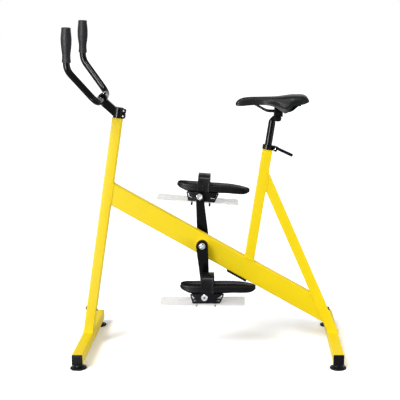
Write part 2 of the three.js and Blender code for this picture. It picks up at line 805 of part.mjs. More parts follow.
function bedRing({ along, width, rim, low }) {
  const x = bedFront + along * (bedRear - bedFront);
  const half = width * bedHalfWidth;
  const base = bracketTop + seam;
  const depth = bedRim - base;
  const top = base + rim * depth;
  const bottom = base + low * depth;
  const side = Math.min(bedSideLow, (top - bottom) / 3);
  const rimWidth = Math.min(bedRimWidth, half / 3);
  const floor = Math.max(top - bedDish, bottom + (top - bottom) / 2);
  const outline = [
    [-half + side, bottom],
    [half - side, bottom],
    [half, bottom + side],
    [half, top - side / 2],
    [half - rimWidth / 2, top],
    [half - rimWidth, top - side / 2],
    [(half - rimWidth) * bedFloorShare, floor + side / 3],
    [0, floor],
    [-(half - rimWidth) * bedFloorShare, floor + side / 3],
    [-half + rimWidth, top - side / 2],
    [-half + rimWidth / 2, top],
    [-half, top - side / 2],
    [-half, bottom + side],
  ];
  return outline.map(([y, z]) => new THREE.Vector3(x, y, z));
}

function strapGeometry() {
  const inner = bedHalfWidth + seam;
  const outer = inner + strapThickness;
  const arch = (half, top, shoulder) => {
    const shape = new THREE.Shape();
    shape.moveTo(-half, strapBottom);
    shape.lineTo(-half, shoulder);
    shape.bezierCurveTo(-half, top, -half / 2, top, 0, top);
    shape.bezierCurveTo(half / 2, top, half, top, half, shoulder);
    shape.lineTo(half, strapBottom);
    return shape;
  };
  const x0 = strapCentre - strapWidth / 2;
  const along = (shape, from, to) => new THREE.ExtrudeGeometry(shape,
    { depth: to - from, bevelEnabled: false, curveSegments: 8 })
    .rotateX(Math.PI / 2).rotateZ(Math.PI / 2).translate(from, 0, 0);
  const band = along(arch(outer, strapTop, strapShoulder), x0, x0 + strapWidth);
  const space = along(arch(inner, strapTop - strapThickness, strapShoulder), x0 - cutOverrun,
    x0 + strapWidth + cutOverrun);
  const mouth = block(x0 - cutOverrun, x0 + strapWidth + cutOverrun, -inner, inner,
    strapBottom - cutOverrun, strapShoulder);
  return cut(band, space, mouth);
}

function plateScrewGeometry(plateBottom) {
  const head = cylinderAlongZ(plateScrewHeadRadius, bracketBottom + bracketPlate + seam,
    bracketBottom + bracketPlate + seam + plateScrewHeadHeight, 0, 0, smallSides);
  const shank = cylinderAlongZ(plateScrewRadius, plateBottom - plateScrewLength,
    bracketBottom + bracketPlate + seam + plateScrewHeadHeight / 2, 0, 0, smallSides);
  return join(head, shank);
}

function buildPedal(sideName, side, tilt) {
  const place = axlePlace(side);
  const pedal = frame(place.x, place.z, tilt);
  bike.add(pedal);
  const middle = side * pedalMiddle;
  add(pedal, `pedal_bracket_${sideName}`, bracketGeometry(), blackPlastic, 0, middle, 0);
  add(pedal, `pedal_bed_${sideName}`, loft(bedShares.map(bedRing)), blackPlastic, 0, middle, 0);
  add(pedal, `pedal_strap_${sideName}`, strapGeometry(), strapRubber, 0, middle, 0);
  const plateTop = bracketBottom - seam;
  const plateBottom = plateTop - plateThickness;
  const inner = crankOuterFace + plateFromCrank;
  const outline = rounded(plateCentre - plateLength / 2, plateCentre + plateLength / 2,
    -plateWidth / 2, plateWidth / 2, plateCorner);
  const screwShift = middle - side * (inner + plateWidth / 2);
  const holes = [plateScrewFront, plateScrewRear].map((x) => cylinderAlongZ(plateScrewRadius + seam,
    plateBottom - plateThickness, plateTop + plateThickness, x, screwShift, smallSides));
  const plate = cut(flatPlate(outline, plateBottom, plateTop), ...holes);
  add(pedal, `resistance_plate_${sideName}`, plate, clearPlate, 0, side * (inner + plateWidth / 2), 0);
  for (const [endName, x] of [['front', plateScrewFront], ['rear', plateScrewRear]]) {
    const name = `plate_screw_${endName}_${sideName}`;
    add(pedal, name, plateScrewGeometry(plateBottom), brightSteel, x, middle, 0);
  }
}

// Seat post with its sleeve and quick-release collar, in the seat tube's leaning frame

const sleeveBore = seatPostRadius + runningGap;
const sleeveRadius = sleeveBore + sleeveWall;
const collarBottom = seam + sleevePlate + seam;
const skewerHeight = collarBottom + collarHeight / 2;

function buildSleeve() {
  const tube = cylinderAlongZ(sleeveRadius, -sleeveDepth, seam + sleeveStandsProud, 0, 0, fineSides);
  const plate = block(-halfLeg, halfLeg, -halfLeg, halfLeg, seam, seam + sleevePlate);
  const bore = cylinderAlongZ(sleeveBore, -sleeveDepth - cutOverrun, cutOverrun, 0, 0, fineSides);
  const slot = block(0, sleeveRadius + sleeveWall, -sleeveSlot / 2, sleeveSlot / 2,
    seam + sleevePlate, cutOverrun);
  add(seatFrame, 'seat_sleeve', cut(join(tube, plate), bore, slot), yellowCoat);
}

function buildCollar() {
  const inner = sleeveRadius + seam;
  const outer = inner + collarWall;
  const top = collarBottom + collarHeight;
  const ring = cylinderAlongZ(outer, collarBottom, top, 0, 0, fineSides);
  const ears = block(inner, inner + collarEarLength, -collarEarHalfWidth, collarEarHalfWidth,
    collarBottom, top);
  const slit = block(0, inner + collarEarLength + collarWall, -sleeveSlot / 2, sleeveSlot / 2,
    collarBottom - collarWall, top + collarWall);
  const bore = cylinderAlongZ(inner, collarBottom - cutOverrun, top + cutOverrun, 0, 0, fineSides);
  const skewerHole = cylinderAlongY(skewerRadius + seam, -cutOverrun, cutOverrun,
    skewerBehindAxis, skewerHeight, smallSides);
  add(seatFrame, 'seat_collar', cut(join(ring, ears), slit, bore, skewerHole), blackCoat);
}

const leverHubY = -(collarEarHalfWidth + seam + leverHubRadius);

function buildSkewer() {
  const nutInner = collarEarHalfWidth + seam;
  const nut = cylinderAlongY(skewerNutRadius, nutInner, nutInner + skewerNutThickness,
    skewerBehindAxis, skewerHeight);
  const rod = cylinderAlongY(skewerRadius, leverHubY, nutInner + skewerNutThickness / 2,
    skewerBehindAxis, skewerHeight, smallSides);
  const pin = cylinderAlongZ(leverPinRadius, -leverHubHeight / 2, leverHubHeight / 2, 0, 0, smallSides)
    .rotateY(leverDrop).translate(skewerBehindAxis, leverHubY, skewerHeight);
  add(seatFrame, 'qr_skewer', join(nut, rod, pin), brightSteel);
}

function buildLever() {
  const halfHeight = leverHubHeight / 2;
  const hub = cylinderAlongZ(leverHubRadius, -halfHeight, halfHeight);
  const thin = leverThickness / 2;
  const paddle = new THREE.Shape();
  const rootY = -leverHubRadius + leverThickness;
  paddle.moveTo(0, rootY + thin);
  const root = leverLength * leverRootShare;
  const tip = leverLength - thin;
  const tipY = rootY - leverThickness;
  paddle.lineTo(root, rootY - thin / 2);
  paddle.quadraticCurveTo(leverLength * leverInnerBendShare, rootY - thin / 2, tip, tipY);
  paddle.absarc(tip, tipY - thin, thin, Math.PI / 2, -Math.PI / 2, true);
  paddle.quadraticCurveTo(leverLength * leverOuterBendShare, tipY, root, tipY - thin / 2);
  paddle.lineTo(0, rootY - thin);
  const blade = flatPlate(paddle, leverLift - leverWidth / 2, leverLift + leverWidth / 2);
  const fork = block(-cutOverrun, leverPinRadius + 2 * seam, -cutOverrun, cutOverrun,
    -leverForkGap / 2, leverForkGap / 2);
  const pinHole = cylinderAlongZ(leverPinRadius + seam, -cutOverrun, cutOverrun, 0, 0, smallSides);
  const lever = cut(join(hub, blade), fork, pinHole);
  const mesh = add(seatFrame, 'qr_lever', lever, blackCoat, skewerBehindAxis, leverHubY, skewerHeight);
  mesh.rotation.y = leverDrop;
}

const headHeight = seatPostExposed;
const neckHalf = seatPostRadius * neckWidthShare;

function buildSeatPost() {
  const tube = cut(
    cylinderAlongZ(seatPostRadius, -seatPostInsertion, headHeight, 0, 0, fineSides),
    cylinderAlongZ(seatPostRadius - tubeWall, -seatPostInsertion - cutOverrun, headHeight - clampHeadRadius,
      0, 0, fineSides),
  );
  const head = cylinderAlongY(clampHeadRadius, -clampHeadHalfWidth, clampHeadHalfWidth,
    clampBehindPost, headHeight + clampHeadRadius, fineSides);
  const neck = new THREE.Shape();
  const neckFront = -seatPostRadius * neckFrontShare;
  neck.moveTo(neckFront, headHeight - clampHeadRadius);
  neck.lineTo(-neckFront, headHeight - clampHeadRadius);
  neck.lineTo(clampBehindPost + clampHeadRadius * neckRearShare,
    headHeight + clampHeadRadius * neckRiseShare);
  neck.lineTo(clampBehindPost, headHeight + clampHeadRadius * neckCrownShare);
  neck.lineTo(clampBehindPost - clampHeadRadius * neckBrowShare,
    headHeight + clampHeadRadius * neckBrowRiseShare);
  neck.lineTo(neckFront, headHeight + clampHeadRadius * neckFrontRiseShare);
  const web = sidePlate(neck, -neckHalf, neckHalf);
  add(seatFrame, 'seat_post', cut(join(tube, head, web), saddleBoltSlot()), blackCoat);
}

// The saddle's own frame is level, with its origin midway between the rails where they are clamped
const headCentre = new THREE.Vector3(clampBehindPost, 0, headHeight + clampHeadRadius)
  .applyMatrix4(seatFrame.matrixWorld);
const saddleFrame = frame(headCentre.x, headCentre.z + clampHeadRadius + railHeightAboveHead, 0);
bike.add(saddleFrame);
const pivotZ = -railHeightAboveHead - clampHeadRadius;

const boltTop = railRadius + upperClampHeight;
const boltBottom = pivotZ - clampHeadRadius - clampBoltNutHeight;

// Room in the head for the bolt and its nut while the saddle tilts about the head
function saddleBoltSlot() {
  const swing = Math.sin(saddleTiltRange);
  const shank = clampBoltRadius + runningGap;
  const nut = hexRadius(2 * clampBoltHeadRadius) + runningGap;
  const slotHalf = shank / Math.cos(saddleTiltRange) + clampHeadRadius * swing;
  const nutHalf = nut + (clampHeadRadius + clampBoltNutHeight) * swing;
  const slot = block(-slotHalf, slotHalf, -shank, shank, boltBottom - cutOverrun, boltTop + cutOverrun);
  const nutRoom = block(-nutHalf, nutHalf, -nut, nut, boltBottom - cutOverrun,
    pivotZ - clampHeadRadius + nut * swing);
  return carried(join(slot, nutRoom), saddleFrame, seatFrame);
}

function railCorners() {
  const half = railHalfSpacing;
  const nose = railNoseHalfSpacing;
  const side = (sign) => [
    [railRear, sign * half, railRearRise, 0],
    [railFlatRear, sign * half, 0, railBend],
    [railFlatFront, sign * half, 0, railBend],
    [railNose + railNoseStraight, sign * nose, railNoseRise, railBend],
    [railNose, sign * nose, railNoseRise, nose],
  ];
  return [...side(-1), ...side(1).reverse()];
}

function railGrooves() {
  return [-1, 1].map((side) => cylinderAlongX(railRadius + seam, -cutOverrun, cutOverrun,
    side * railHalfSpacing, 0, smallSides));
}

function buildSaddleClamp() {
  const halfCradle = cradleLength / 2;
  const headTop = pivotZ + clampHeadRadius;
  const cradle = block(-halfCradle, halfCradle, -clampHalfWidth, clampHalfWidth,
    headTop - clampHeadRadius * cradleHugShare, -seam);
  const headSpace = cylinderAlongY(clampHeadRadius + runningGap, -cutOverrun, cutOverrun,
    0, pivotZ, fineSides);
  const neckRoom = neckHalf + runningGap;
  const neckSpace = block(-cutOverrun, 0, -neckRoom, neckRoom, -cutOverrun, headTop);
  const boltHole = cylinderAlongZ(clampBoltRadius + runningGap, -cutOverrun, cutOverrun);
  add(saddleFrame, 'saddle_cradle', cut(cradle, headSpace, neckSpace, boltHole, ...railGrooves()), blackCoat);
  const halfUpper = upperClampLength / 2;
  const upper = block(-halfUpper, halfUpper, -clampHalfWidth, clampHalfWidth, seam, boltTop);
  const shoulder = clampHalfWidth - railRadius;
  const crown = block(-cutOverrun, cutOverrun, shoulder, cutOverrun, railRadius * 2, cutOverrun);
  const crownFar = block(-cutOverrun, cutOverrun, -cutOverrun, -shoulder, railRadius * 2, cutOverrun);
  add(saddleFrame, 'saddle_clamp', cut(upper, boltHole, crown, crownFar, ...railGrooves()), blackCoat);
  const head = cylinderAlongZ(clampBoltHeadRadius, boltTop + seam, boltTop + seam + clampBoltHeadHeight);
  const shank = cylinderAlongZ(clampBoltRadius, boltBottom, boltTop + seam + clampBoltHeadHeight / 2,
    0, 0, smallSides);
  const nutTop = boltBottom + clampBoltNutHeight - runningGap;
  const nut = cylinderAlongZ(clampBoltHeadRadius, boltBottom + clampBoltNutHeight / 4, nutTop, 0, 0, 6);
  add(saddleFrame, 'saddle_clamp_bolt', join(head, shank, nut), blackCoat);
  add(saddleFrame, 'saddle_rails', bentRod(route(railCorners()), railRadius, railSides), blackCoat);
}

// Saddle outline: shares of the length from the nose, of the half width, and of the height at the crown
// and at the skirt's lower edge
const saddleShares = [
  { along: 0, width: 0.1, crown: 0.51, skirt: 0.39 },
  { along: 0.012, width: 0.17, crown: 0.59, skirt: 0.35 },
  { along: 0.04, width: 0.225, crown: 0.7, skirt: 0.33 },
  { along: 0.1, width: 0.265, crown: 0.81, skirt: 0.34 },
  { along: 0.19, width: 0.29, crown: 0.86, skirt: 0.38 },
  { along: 0.3, width: 0.33, crown: 0.87, skirt: 0.41 },
  { along: 0.4, width: 0.42, crown: 0.875, skirt: 0.41 },
  { along: 0.49, width: 0.57, crown: 0.88, skirt: 0.36 },
  { along: 0.56, width: 0.71, crown: 0.895, skirt: 0.25 },
  { along: 0.62, width: 0.82, crown: 0.92, skirt: 0.09 },
  { along: 0.67, width: 0.9, crown: 0.95, skirt: -0.04 },
  { along: 0.72, width: 0.96, crown: 0.975, skirt: 0.08 },
  { along: 0.79, width: 1, crown: 1, skirt: 0.42 },
  { along: 0.87, width: 0.98, crown: 1, skirt: 0.46 },
  { along: 0.93, width: 0.88, crown: 0.98, skirt: 0.5 },
  { along: 0.975, width: 0.68, crown: 0.88, skirt: 0.56 },
  { along: 1, width: 0.5, crown: 0.7, skirt: 0.6 },
];
const saddleTuckShare = 0.9;
const saddleLeastWidthShare = 0.3;
const saddleLeastRiseShare = 0.2;
const saddleArcPoints = 12;
const saddleTuckPower = 6;
const saddleSidePower = 0.8;
const saddleCrownPower = 0.7;

function saddleStation(share) {
  const bottom = saddleBase;
  return {
    x: saddleNose + share.along * saddleLength,
    half: share.width * saddleHalfWidth,
    crown: bottom + share.crown * saddleHeight,
    skirt: bottom + share.skirt * saddleHeight,
  };
}

// One arch across the saddle, drawn in towards its lower edges, sunk by a depth at the crown and the sides
function saddleArch({ x, half, crown, skirt }, top, side) {
  const width = Math.max(half - side, half * saddleLeastWidthShare);
  const rise = Math.max(crown - top - skirt, (crown - skirt) * saddleLeastRiseShare);
  const points = [];
  for (let i = 0; i <= saddleArcPoints; i += 1) {
    const angle = Math.PI * (0.5 - i / saddleArcPoints);
    const across = Math.abs(Math.sin(angle));
    const tuck = 1 - (1 - saddleTuckShare) * across ** saddleTuckPower;
    const y = width * tuck * Math.sign(Math.sin(angle)) * across ** saddleSidePower;
    points.push(new THREE.Vector3(x, y, skirt + rise * Math.abs(Math.cos(angle)) ** saddleCrownPower));
  }
  return points;
}

function saddleSheet(stations, sink, thickness, sideThickness) {
  return loft(stations.map((station) => [
    ...saddleArch(station, sink.top, sink.side),
    ...saddleArch(station, sink.top + thickness, sink.side + sideThickness).reverse(),
  ]));
}

// Sockets that hang from the shell around the rails' nose bend and their rear ends
function railSockets(core) {
  const around = railRadius + railSocketWall;
  const half = railSocketLength / 2;
  const noseAround = railRadius + railNoseSocketWall;
  const noseHalf = railNoseHalfSpacing + noseAround;
  const nose = common(core, block(railNose - half, railNose + half, -noseHalf, noseHalf,
    railNoseRise - noseAround, cutOverrun));
  const rear = [-1, 1].map((side) => {
    const y = side * railHalfSpacing;
    const from = railRear - railSocketLength;
    const to = railRear + railSocketWall;
    const low = block(from, to, y - around, y + around,
      railRearRise - railRadius - around, railRearRise + around);
    const high = block(from + seam, to - seam, y - around + seam, y + around - seam,
      railRearRise, cutOverrun);
    return join(low, common(high, core));
  });
  return join(nose, ...rear);
}

function buildSaddle() {
  const stations = saddleShares.map(saddleStation);
  const skin = { top: 0, side: 0 };
  add(saddleFrame, 'saddle_cover', saddleSheet(stations, skin, foamThickness, foamSide), saddleSkin);
  const inner = stations.slice(2, -2);
  const sink = { top: foamThickness + seam, side: foamSide + seam };
  const sheet = saddleSheet(inner, sink, shellThickness, shellThickness);
  const middle = shellThickness / 2;
  const core = loft(inner.map((station) => saddleArch(station, sink.top + middle, sink.side + middle)));
  const rails = bentRod(route(railCorners()), railRadius + seam, railSides);
  add(saddleFrame, 'saddle_shell', cut(join(sheet, railSockets(core)), rails), blackPlastic);
}

// Stem on the steerer, in the front post's leaning frame

const steererTop = postLength + seam + postPlate + stemBarrelHeight - stemTopThickness;
const barrelBottom = postLength + seam + postPlate + runningGap;
const barrelTop = barrelBottom + stemBarrelHeight;
const barrelMiddle = (barrelBottom + barrelTop) / 2;
const barX = -stemReach;
const barZ = barrelMiddle + stemRise;

// The bar's clamp is rolled a little, which stands the left grip lower than the right one
const clampFrame = frame(barX, barZ, 0);
clampFrame.rotation.x = barRoll;
postFrame.add(clampFrame);
clampFrame.updateMatrixWorld(true);

function buildSteerer() {
  const plate = block(-halfLeg, halfLeg, -halfLeg, halfLeg, postLength + seam, postLength + seam + postPlate);
  const tube = cylinderAlongZ(steererRadius, postLength - steererDepth, steererTop, 0, 0, fineSides);
  const bore = cylinderAlongZ(steererRadius - steererWall, 0, steererTop + cutOverrun, 0, 0, fineSides);
  add(postFrame, 'steerer_stub', cut(join(plate, tube), bore), yellowCoat);
}

function buildStem() {
  const barrel = turned([
    [0, barrelBottom],
    [stemBarrelRadius, barrelBottom],
    [stemBarrelRadius, barrelTop - stemTopRound],
    [stemBarrelRadius - stemTopRound, barrelTop],
    [0, barrelTop],
  ], fineSides);
  const angle = Math.atan2(stemRise, stemReach);
  const length = Math.hypot(stemReach, stemRise);
  const clampRadius = barRadius + stemClampWall;
  const body = block(-length, 0, -stemBodyWidth / 2, stemBodyWidth / 2,
    -stemBodyDepth / 2 - stemBodyDrop, stemBodyDepth / 2 - stemBodyDrop)
    .rotateY(angle).translate(0, 0, barrelMiddle);
  const inClamp = (geometry) => carried(geometry, clampFrame, postFrame);
  const clamp = inClamp(cylinderAlongY(clampRadius, -stemClampHalfWidth, stemClampHalfWidth,
    0, 0, fineSides));
  const ears = block(0, stemBarrelRadius + stemEarLength, -stemEarHalfWidth, stemEarHalfWidth,
    barrelBottom, barrelTop - stemTopRound);
  const slit = block(0, stemBarrelRadius + stemEarLength + stemTopRound, -stemSlit / 2, stemSlit / 2,
    barrelBottom - cutOverrun, barrelTop - stemTopThickness);
  const bore = cylinderAlongZ(steererRadius + seam, barrelBottom - cutOverrun, barrelTop - stemTopThickness,
    0, 0, fineSides);
  const barBore = inClamp(cylinderAlongY(barRadius + seam, -cutOverrun, cutOverrun, 0, 0, fineSides));
  const facing = inClamp(block(-cutOverrun, -stemFaceGap / 2, -cutOverrun, cutOverrun,
    -cutOverrun, cutOverrun).rotateY(angle));
  const boltHeights = [barrelBottom + pinchBoltInset, barrelTop - pinchBoltInset];
  const boltX = stemBarrelRadius + stemEarLength * stemEarBoltShare;
  const boltHoles = boltHeights.map((z) => cylinderAlongY(pinchBoltRadius + seam, -cutOverrun, cutOverrun,
    boltX, z, smallSides));
  const stem = cut(join(barrel, body, clamp, ears), slit, bore, barBore, facing, ...boltHoles);
  add(postFrame, 'stem_body', stem, blackCoat);
  const lug = stemClampWall;
  const plate = block(-clampRadius, stemFaceGap, -stemBodyWidth / 2, stemBodyWidth / 2,
    -clampRadius - lug, clampRadius + lug);
  const trim = block(-clampRadius - cutOverrun, -stemClampWall * stemFaceStepShare,
    -cutOverrun, cutOverrun, -cutOverrun, cutOverrun);
  const lugs = inClamp(cut(plate, trim).rotateY(angle));
  const behind = inClamp(block(-stemFaceGap / 2 - seam, cutOverrun, -cutOverrun, cutOverrun,
    -cutOverrun, cutOverrun).rotateY(angle));
  add(postFrame, 'stem_faceplate', cut(join(clamp, lugs), behind, barBore), blackCoat);
  boltHeights.forEach((z, i) => {
    const headInner = stemEarHalfWidth + seam;
    const head = cylinderAlongY(pinchBoltHeadRadius, -headInner - pinchBoltHeadHeight, -headInner, boltX, z,
      smallSides);
    const shank = cylinderAlongY(pinchBoltRadius, -headInner - pinchBoltHeadHeight / 2, stemEarHalfWidth,
      boltX, z, smallSides);
    add(postFrame, `stem_pinch_bolt_${i + 1}`, join(head, shank), brightSteel);
  });
}

// Handlebar: one bent tube with two like arms, upright in spite of the post's lean

const barFrame = frame(0, 0, -postLean);
clampFrame.add(barFrame);
barFrame.updateMatrixWorld(true);

const armCorner = new THREE.Vector3(-barArmForward, barGripHalfSpacing, barArmRise);
const gripUp = new THREE.Vector3(Math.sin(gripLean), 0, Math.cos(gripLean));

function alongGrip(height) {
  return armCorner.clone().addScaledVector(gripUp, (height - barArmRise) / gripUp.z);
}

function barCorners(overrun) {
  const top = alongGrip(gripTopAboveBar - gripEndThickness + overrun);
  const side = (sign) => [
    [top.x, sign * top.y, top.z, 0],
    [armCorner.x, sign * armCorner.y, armCorner.z, armBendLength],
    [0, sign * barHalfStraight, 0, barBendLength],
  ];
  return [...side(-1), ...side(1).reverse()];
}

function buildHandlebar() {
  const outer = bentRod(route(barCorners(0)), barRadius, barSides);
  const inner = bentRod(route(barCorners(gripEndThickness)), barRadius - barWall, barSides);
  add(barFrame, 'handlebar', cut(outer, inner), blackCoat);
}

// Grip: shares of its length from the flange, and of its swell over the narrow part
const gripShares = [
  { along: 0.22, swell: 0 },
  { along: 0.38, swell: 0.55 },
  { along: 0.56, swell: 1 },
  { along: 0.68, swell: 1 },
  { along: 0.84, swell: 0.62 },
];

function buildGrip(sideName, side) {
  const bore = barRadius + seam;
  const top = gripLength;
  const inside = top - gripEndThickness + seam;
  const bulge = gripBulgeRadius - gripNarrowRadius;
  const profile = [
    [0, inside],
    [bore, inside],
    [bore, 0],
    [gripFlangeRadius, 0],
    [gripFlangeRadius, gripFlangeThickness],
    [gripNarrowRadius, gripFlangeThickness * 2],
    ...gripShares.map(({ along, swell }) => [gripNarrowRadius + swell * bulge, along * gripLength]),
    [gripTopRadius, top - gripEdgeRound],
    [gripTopRadius - gripEdgeRound, top],
    [0, top],
  ];
  const grip = turned(profile, roundSides).rotateY(gripLean);
  const base = alongGrip(gripTopAboveBar).addScaledVector(gripUp, -gripLength);
  add(barFrame, `grip_${sideName}`, grip, gripFoam, base.x, side * base.y, base.z);
}

buildPost();
buildStay();
buildBeam();
buildSeatTube();
buildBases();
buildBottomBracket();
buildSleeve();
buildCollar();
buildSkewer();
buildLever();
buildSeatPost();
buildSaddleClamp();
buildSaddle();
buildSteerer();
buildStem();
buildHandlebar();
for (const [sideName, side, tilt] of [['left', -1, 0], ['right', 1, rightPedalTilt]]) {
  buildCrank(sideName, side);
  buildCrankBolt(sideName, side);
  buildAxle(sideName, side);
  buildPedal(sideName, side, tilt);
  buildGrip(sideName, side);
}

export default bike;
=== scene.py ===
"""Aqua bike: the finished surfaces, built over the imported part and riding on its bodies.

Shapes are drawn in millimetres, in the level or leaning frame of the tube they belong to, and are
baked into metres when they are fitted to the bike. The rider's left is towards -Y.
"""

from math import asin, atan2, copysign, cos, degrees, exp, hypot, pi, radians, sin

import bmesh
import bpy
from mathutils import Matrix, Vector


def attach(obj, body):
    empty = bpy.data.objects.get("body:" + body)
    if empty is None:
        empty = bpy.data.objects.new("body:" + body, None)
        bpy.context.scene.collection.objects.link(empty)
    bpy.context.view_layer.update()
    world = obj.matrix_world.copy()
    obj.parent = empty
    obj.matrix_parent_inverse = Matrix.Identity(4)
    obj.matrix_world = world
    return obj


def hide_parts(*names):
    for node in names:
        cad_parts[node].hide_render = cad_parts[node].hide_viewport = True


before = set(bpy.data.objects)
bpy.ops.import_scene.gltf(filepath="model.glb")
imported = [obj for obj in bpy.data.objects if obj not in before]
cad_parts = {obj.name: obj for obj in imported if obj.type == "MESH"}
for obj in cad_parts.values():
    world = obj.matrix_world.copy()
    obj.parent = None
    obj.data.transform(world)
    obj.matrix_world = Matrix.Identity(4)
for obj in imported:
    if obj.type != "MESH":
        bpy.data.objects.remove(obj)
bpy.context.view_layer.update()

# Sizes in millimetres, as in the part's source

SEAM = 0.3
ROOM = 0.4
WELD_GAP = 0.5
LONG = 1400
BASE_SPACING = 965
BASE_WIDTH = 540
BASE_TUBE = 40
BASE_TOP = 60
FOOT_HEIGHT = 20
FOOT_INSET = 25.5
CAP = 4
WALL = 2
LEG = 38
HALF_LEG = LEG / 2
POST_LEAN = 9.2
POST_LENGTH = 854
STAY_LEAN = 23.45
BEAM_HEIGHT = 78.5
HALF_BEAM = BEAM_HEIGHT / 2
BEAM_SLOPE = 29.75
SEAT_TUBE_TOP = (221.6, 783.5)
LEG_BOLT_HEIGHT = 92
PAD_FROM_CRANK = 177
CRANK = (-28.7, 418.9)
CRANK_ABOVE_BEAM = 2.5
CRANK_LENGTH = 175
CRANK_ANGLE = 4
CRANK_INNER = 40
CRANK_OUTER = 58
SHELL_RADIUS = 21
SHELL_HALF = 34
BOSS_RADIUS = 23
EYE_RADIUS = 15
AXLE_RADIUS = 7
PEDAL_INNER = 62
PEDAL_WIDTH = 90
PEDAL_MIDDLE = PEDAL_INNER + PEDAL_WIDTH / 2
AXLE_HEAD = PEDAL_INNER + PEDAL_WIDTH + ROOM
RIGHT_PEDAL_TILT = 4.3
BRACKET_BOTTOM = -23.5
BRACKET_TOP = 13
BED_FRONT = -93
BED_REAR = 193
BED_HALF = 42
BED_RIM = 42
BED_DISH = 15
STRAP_WIDTH = 46.5
STRAP_CENTRE = 11.5
STRAP_TOP = 82
STRAP_THICKNESS = 2.6
PLATE = (322, 104, 4)
PLATE_CENTRE = -9
PLATE_SCREWS = {"front": -32, "rear": 39}
SEAT_POST_RADIUS = 13.6
SEAT_POST_EXPOSED = 114
SEAT_POST_INSERTION = 190
SLEEVE_RADIUS = 16
COLLAR_BOTTOM = 3.1
COLLAR_HEIGHT = 17
SKEWER = (29, COLLAR_BOTTOM + COLLAR_HEIGHT / 2)
LEVER_HUB_Y = -16.3
LEVER_LENGTH = 70
LEVER_DROP = 15.3
LEVER_LIFT = 4.2
HEAD_RADIUS = 12.5
HEAD_BEHIND_POST = 20
RAIL_ABOVE_HEAD = 14.5
RAIL_RADIUS = 3.5
RAIL_HALF_SPACING = 22
PIVOT = -RAIL_ABOVE_HEAD - HEAD_RADIUS
SADDLE_NOSE = -160.4
SADDLE_LENGTH = 275.4
SADDLE_HALF = 74
SADDLE_HEIGHT = 64
SADDLE_BASE = -2
BARREL_BOTTOM = POST_LENGTH + 3.7
BARREL_TOP = BARREL_BOTTOM + 40
BARREL_MIDDLE = BARREL_BOTTOM + 20
BARREL_RADIUS = 18.5
STEM_REACH = 66
STEM_RISE = 43
STEM_BODY_DEPTH = 32
STEM_BODY_DROP = 6.3
BAR_ROLL = 4.1
BAR_RADIUS = 12.7
CLAMP_RADIUS = BAR_RADIUS + 6.5
BAR_HALF_STRAIGHT = 118
ARM_FORWARD = 98
ARM_RISE = 128
GRIP_HALF_SPACING = 160
GRIP_LEAN = 2.4
GRIP_TOP = 277
GRIP_LENGTH = 123

SIDES = {"left": -1, "right": 1}
MERGE_DISTANCE = 1e-4
BEND_LIMIT = 0.49


def spin(axis, angle):
    return Matrix.Rotation(radians(angle), 4, axis)


def facing(side):
    """Turned half round for the side towards -X or -Y."""
    return spin("Z", 0 if side > 0 else 180)


def leaning(x, z, lean=0.0):
    """A frame in the bike's middle plane, leant about the cross axis by an angle in degrees."""
    return Matrix.Translation((x, 0, z)) @ spin("Y", lean)


LEVEL = spin("Z", 0)
POST = leaning(-BASE_SPACING / 2, BASE_TOP, POST_LEAN)
STAY = leaning(BASE_SPACING / 2, BASE_TOP, -STAY_LEAN)
BEAM = leaning(CRANK[0], CRANK[1] - CRANK_ABOVE_BEAM, BEAM_SLOPE)
SEAT = leaning(*SEAT_TUBE_TOP, POST_LEAN)
BRACKET_AXIS = leaning(*CRANK)
CRANKS = leaning(*CRANK, -CRANK_ANGLE)
HEAD = SEAT @ Vector((HEAD_BEHIND_POST, 0, SEAT_POST_EXPOSED + HEAD_RADIUS))
SADDLE = leaning(HEAD.x, HEAD.z + HEAD_RADIUS + RAIL_ABOVE_HEAD)
STEM_TURN = Matrix.Rotation(atan2(STEM_RISE, STEM_REACH), 4, "Y")
ROLLED = leaning(-STEM_REACH, BARREL_MIDDLE + STEM_RISE) @ spin("X", BAR_ROLL)
STEM_CLAMP = POST @ ROLLED @ STEM_TURN
BAR = POST @ ROLLED @ spin("Y", -POST_LEAN)


def pedal_frame(side):
    reach = side * CRANK_LENGTH
    turn = radians(CRANK_ANGLE)
    tilt = RIGHT_PEDAL_TILT if side > 0 else 0
    return leaning(CRANK[0] - reach * sin(turn), CRANK[1] + reach * cos(turn), tilt)


# Shapes


def made(points, faces):
    mesh = bpy.data.meshes.new("piece")
    mesh.from_pydata([tuple(point) for point in points], [], faces)
    piece = bpy.data.objects.new("piece", mesh)
    bpy.context.scene.collection.objects.link(piece)
    return tidy(piece, merge=True)


def tidy(piece, merge=False):
    """Turns every face outward; may first merge points that coincide."""
    form = bmesh.new()
    form.from_mesh(piece.data)
    if merge:
        bmesh.ops.remove_doubles(form, verts=form.verts, dist=MERGE_DISTANCE)
    bmesh.ops.recalc_face_normals(form, faces=form.faces)
    form.to_mesh(piece.data)
    form.free()
    return piece


def skin(rings, looped=False):
    """A closed skin over rings of points: capped at both ends, or joined back to the first ring."""
    count = len(rings[0])
    points = [point for ring in rings for point in ring]
    faces = []
    for i in range(len(rings) if looped else len(rings) - 1):
        low = i * count
        high = (i + 1) % len(rings) * count
        for j in range(count):
            k = (j + 1) % count
            faces.append((low + j, low + k, high + k, high + j))
    if not looped:
        faces.append(tuple(range(count)))
        faces.append(tuple(range(len(points) - count, len(points))))
    return made(points, faces)


TURNS = {"Z": spin("Z", 0), "Y": spin("X", -90), "X": spin("Y", 90)}


def moved(piece, *steps):
    for step in steps:
        piece.data.transform(step)
    return piece


def shift(x=0.0, y=0.0, z=0.0):
    return Matrix.Translation((x, y, z))


def mirrored(piece, side):
    """A piece drawn for the right-hand side, mirrored where it goes on the left."""
    if side < 0:
        moved(piece, Matrix.Scale(-1, 4, (0, 1, 0)))
        piece.data.flip_normals()
    return piece


def circle(count):
    """The angles of even steps round a circle."""
    return [2 * pi * i / count for i in range(count)]


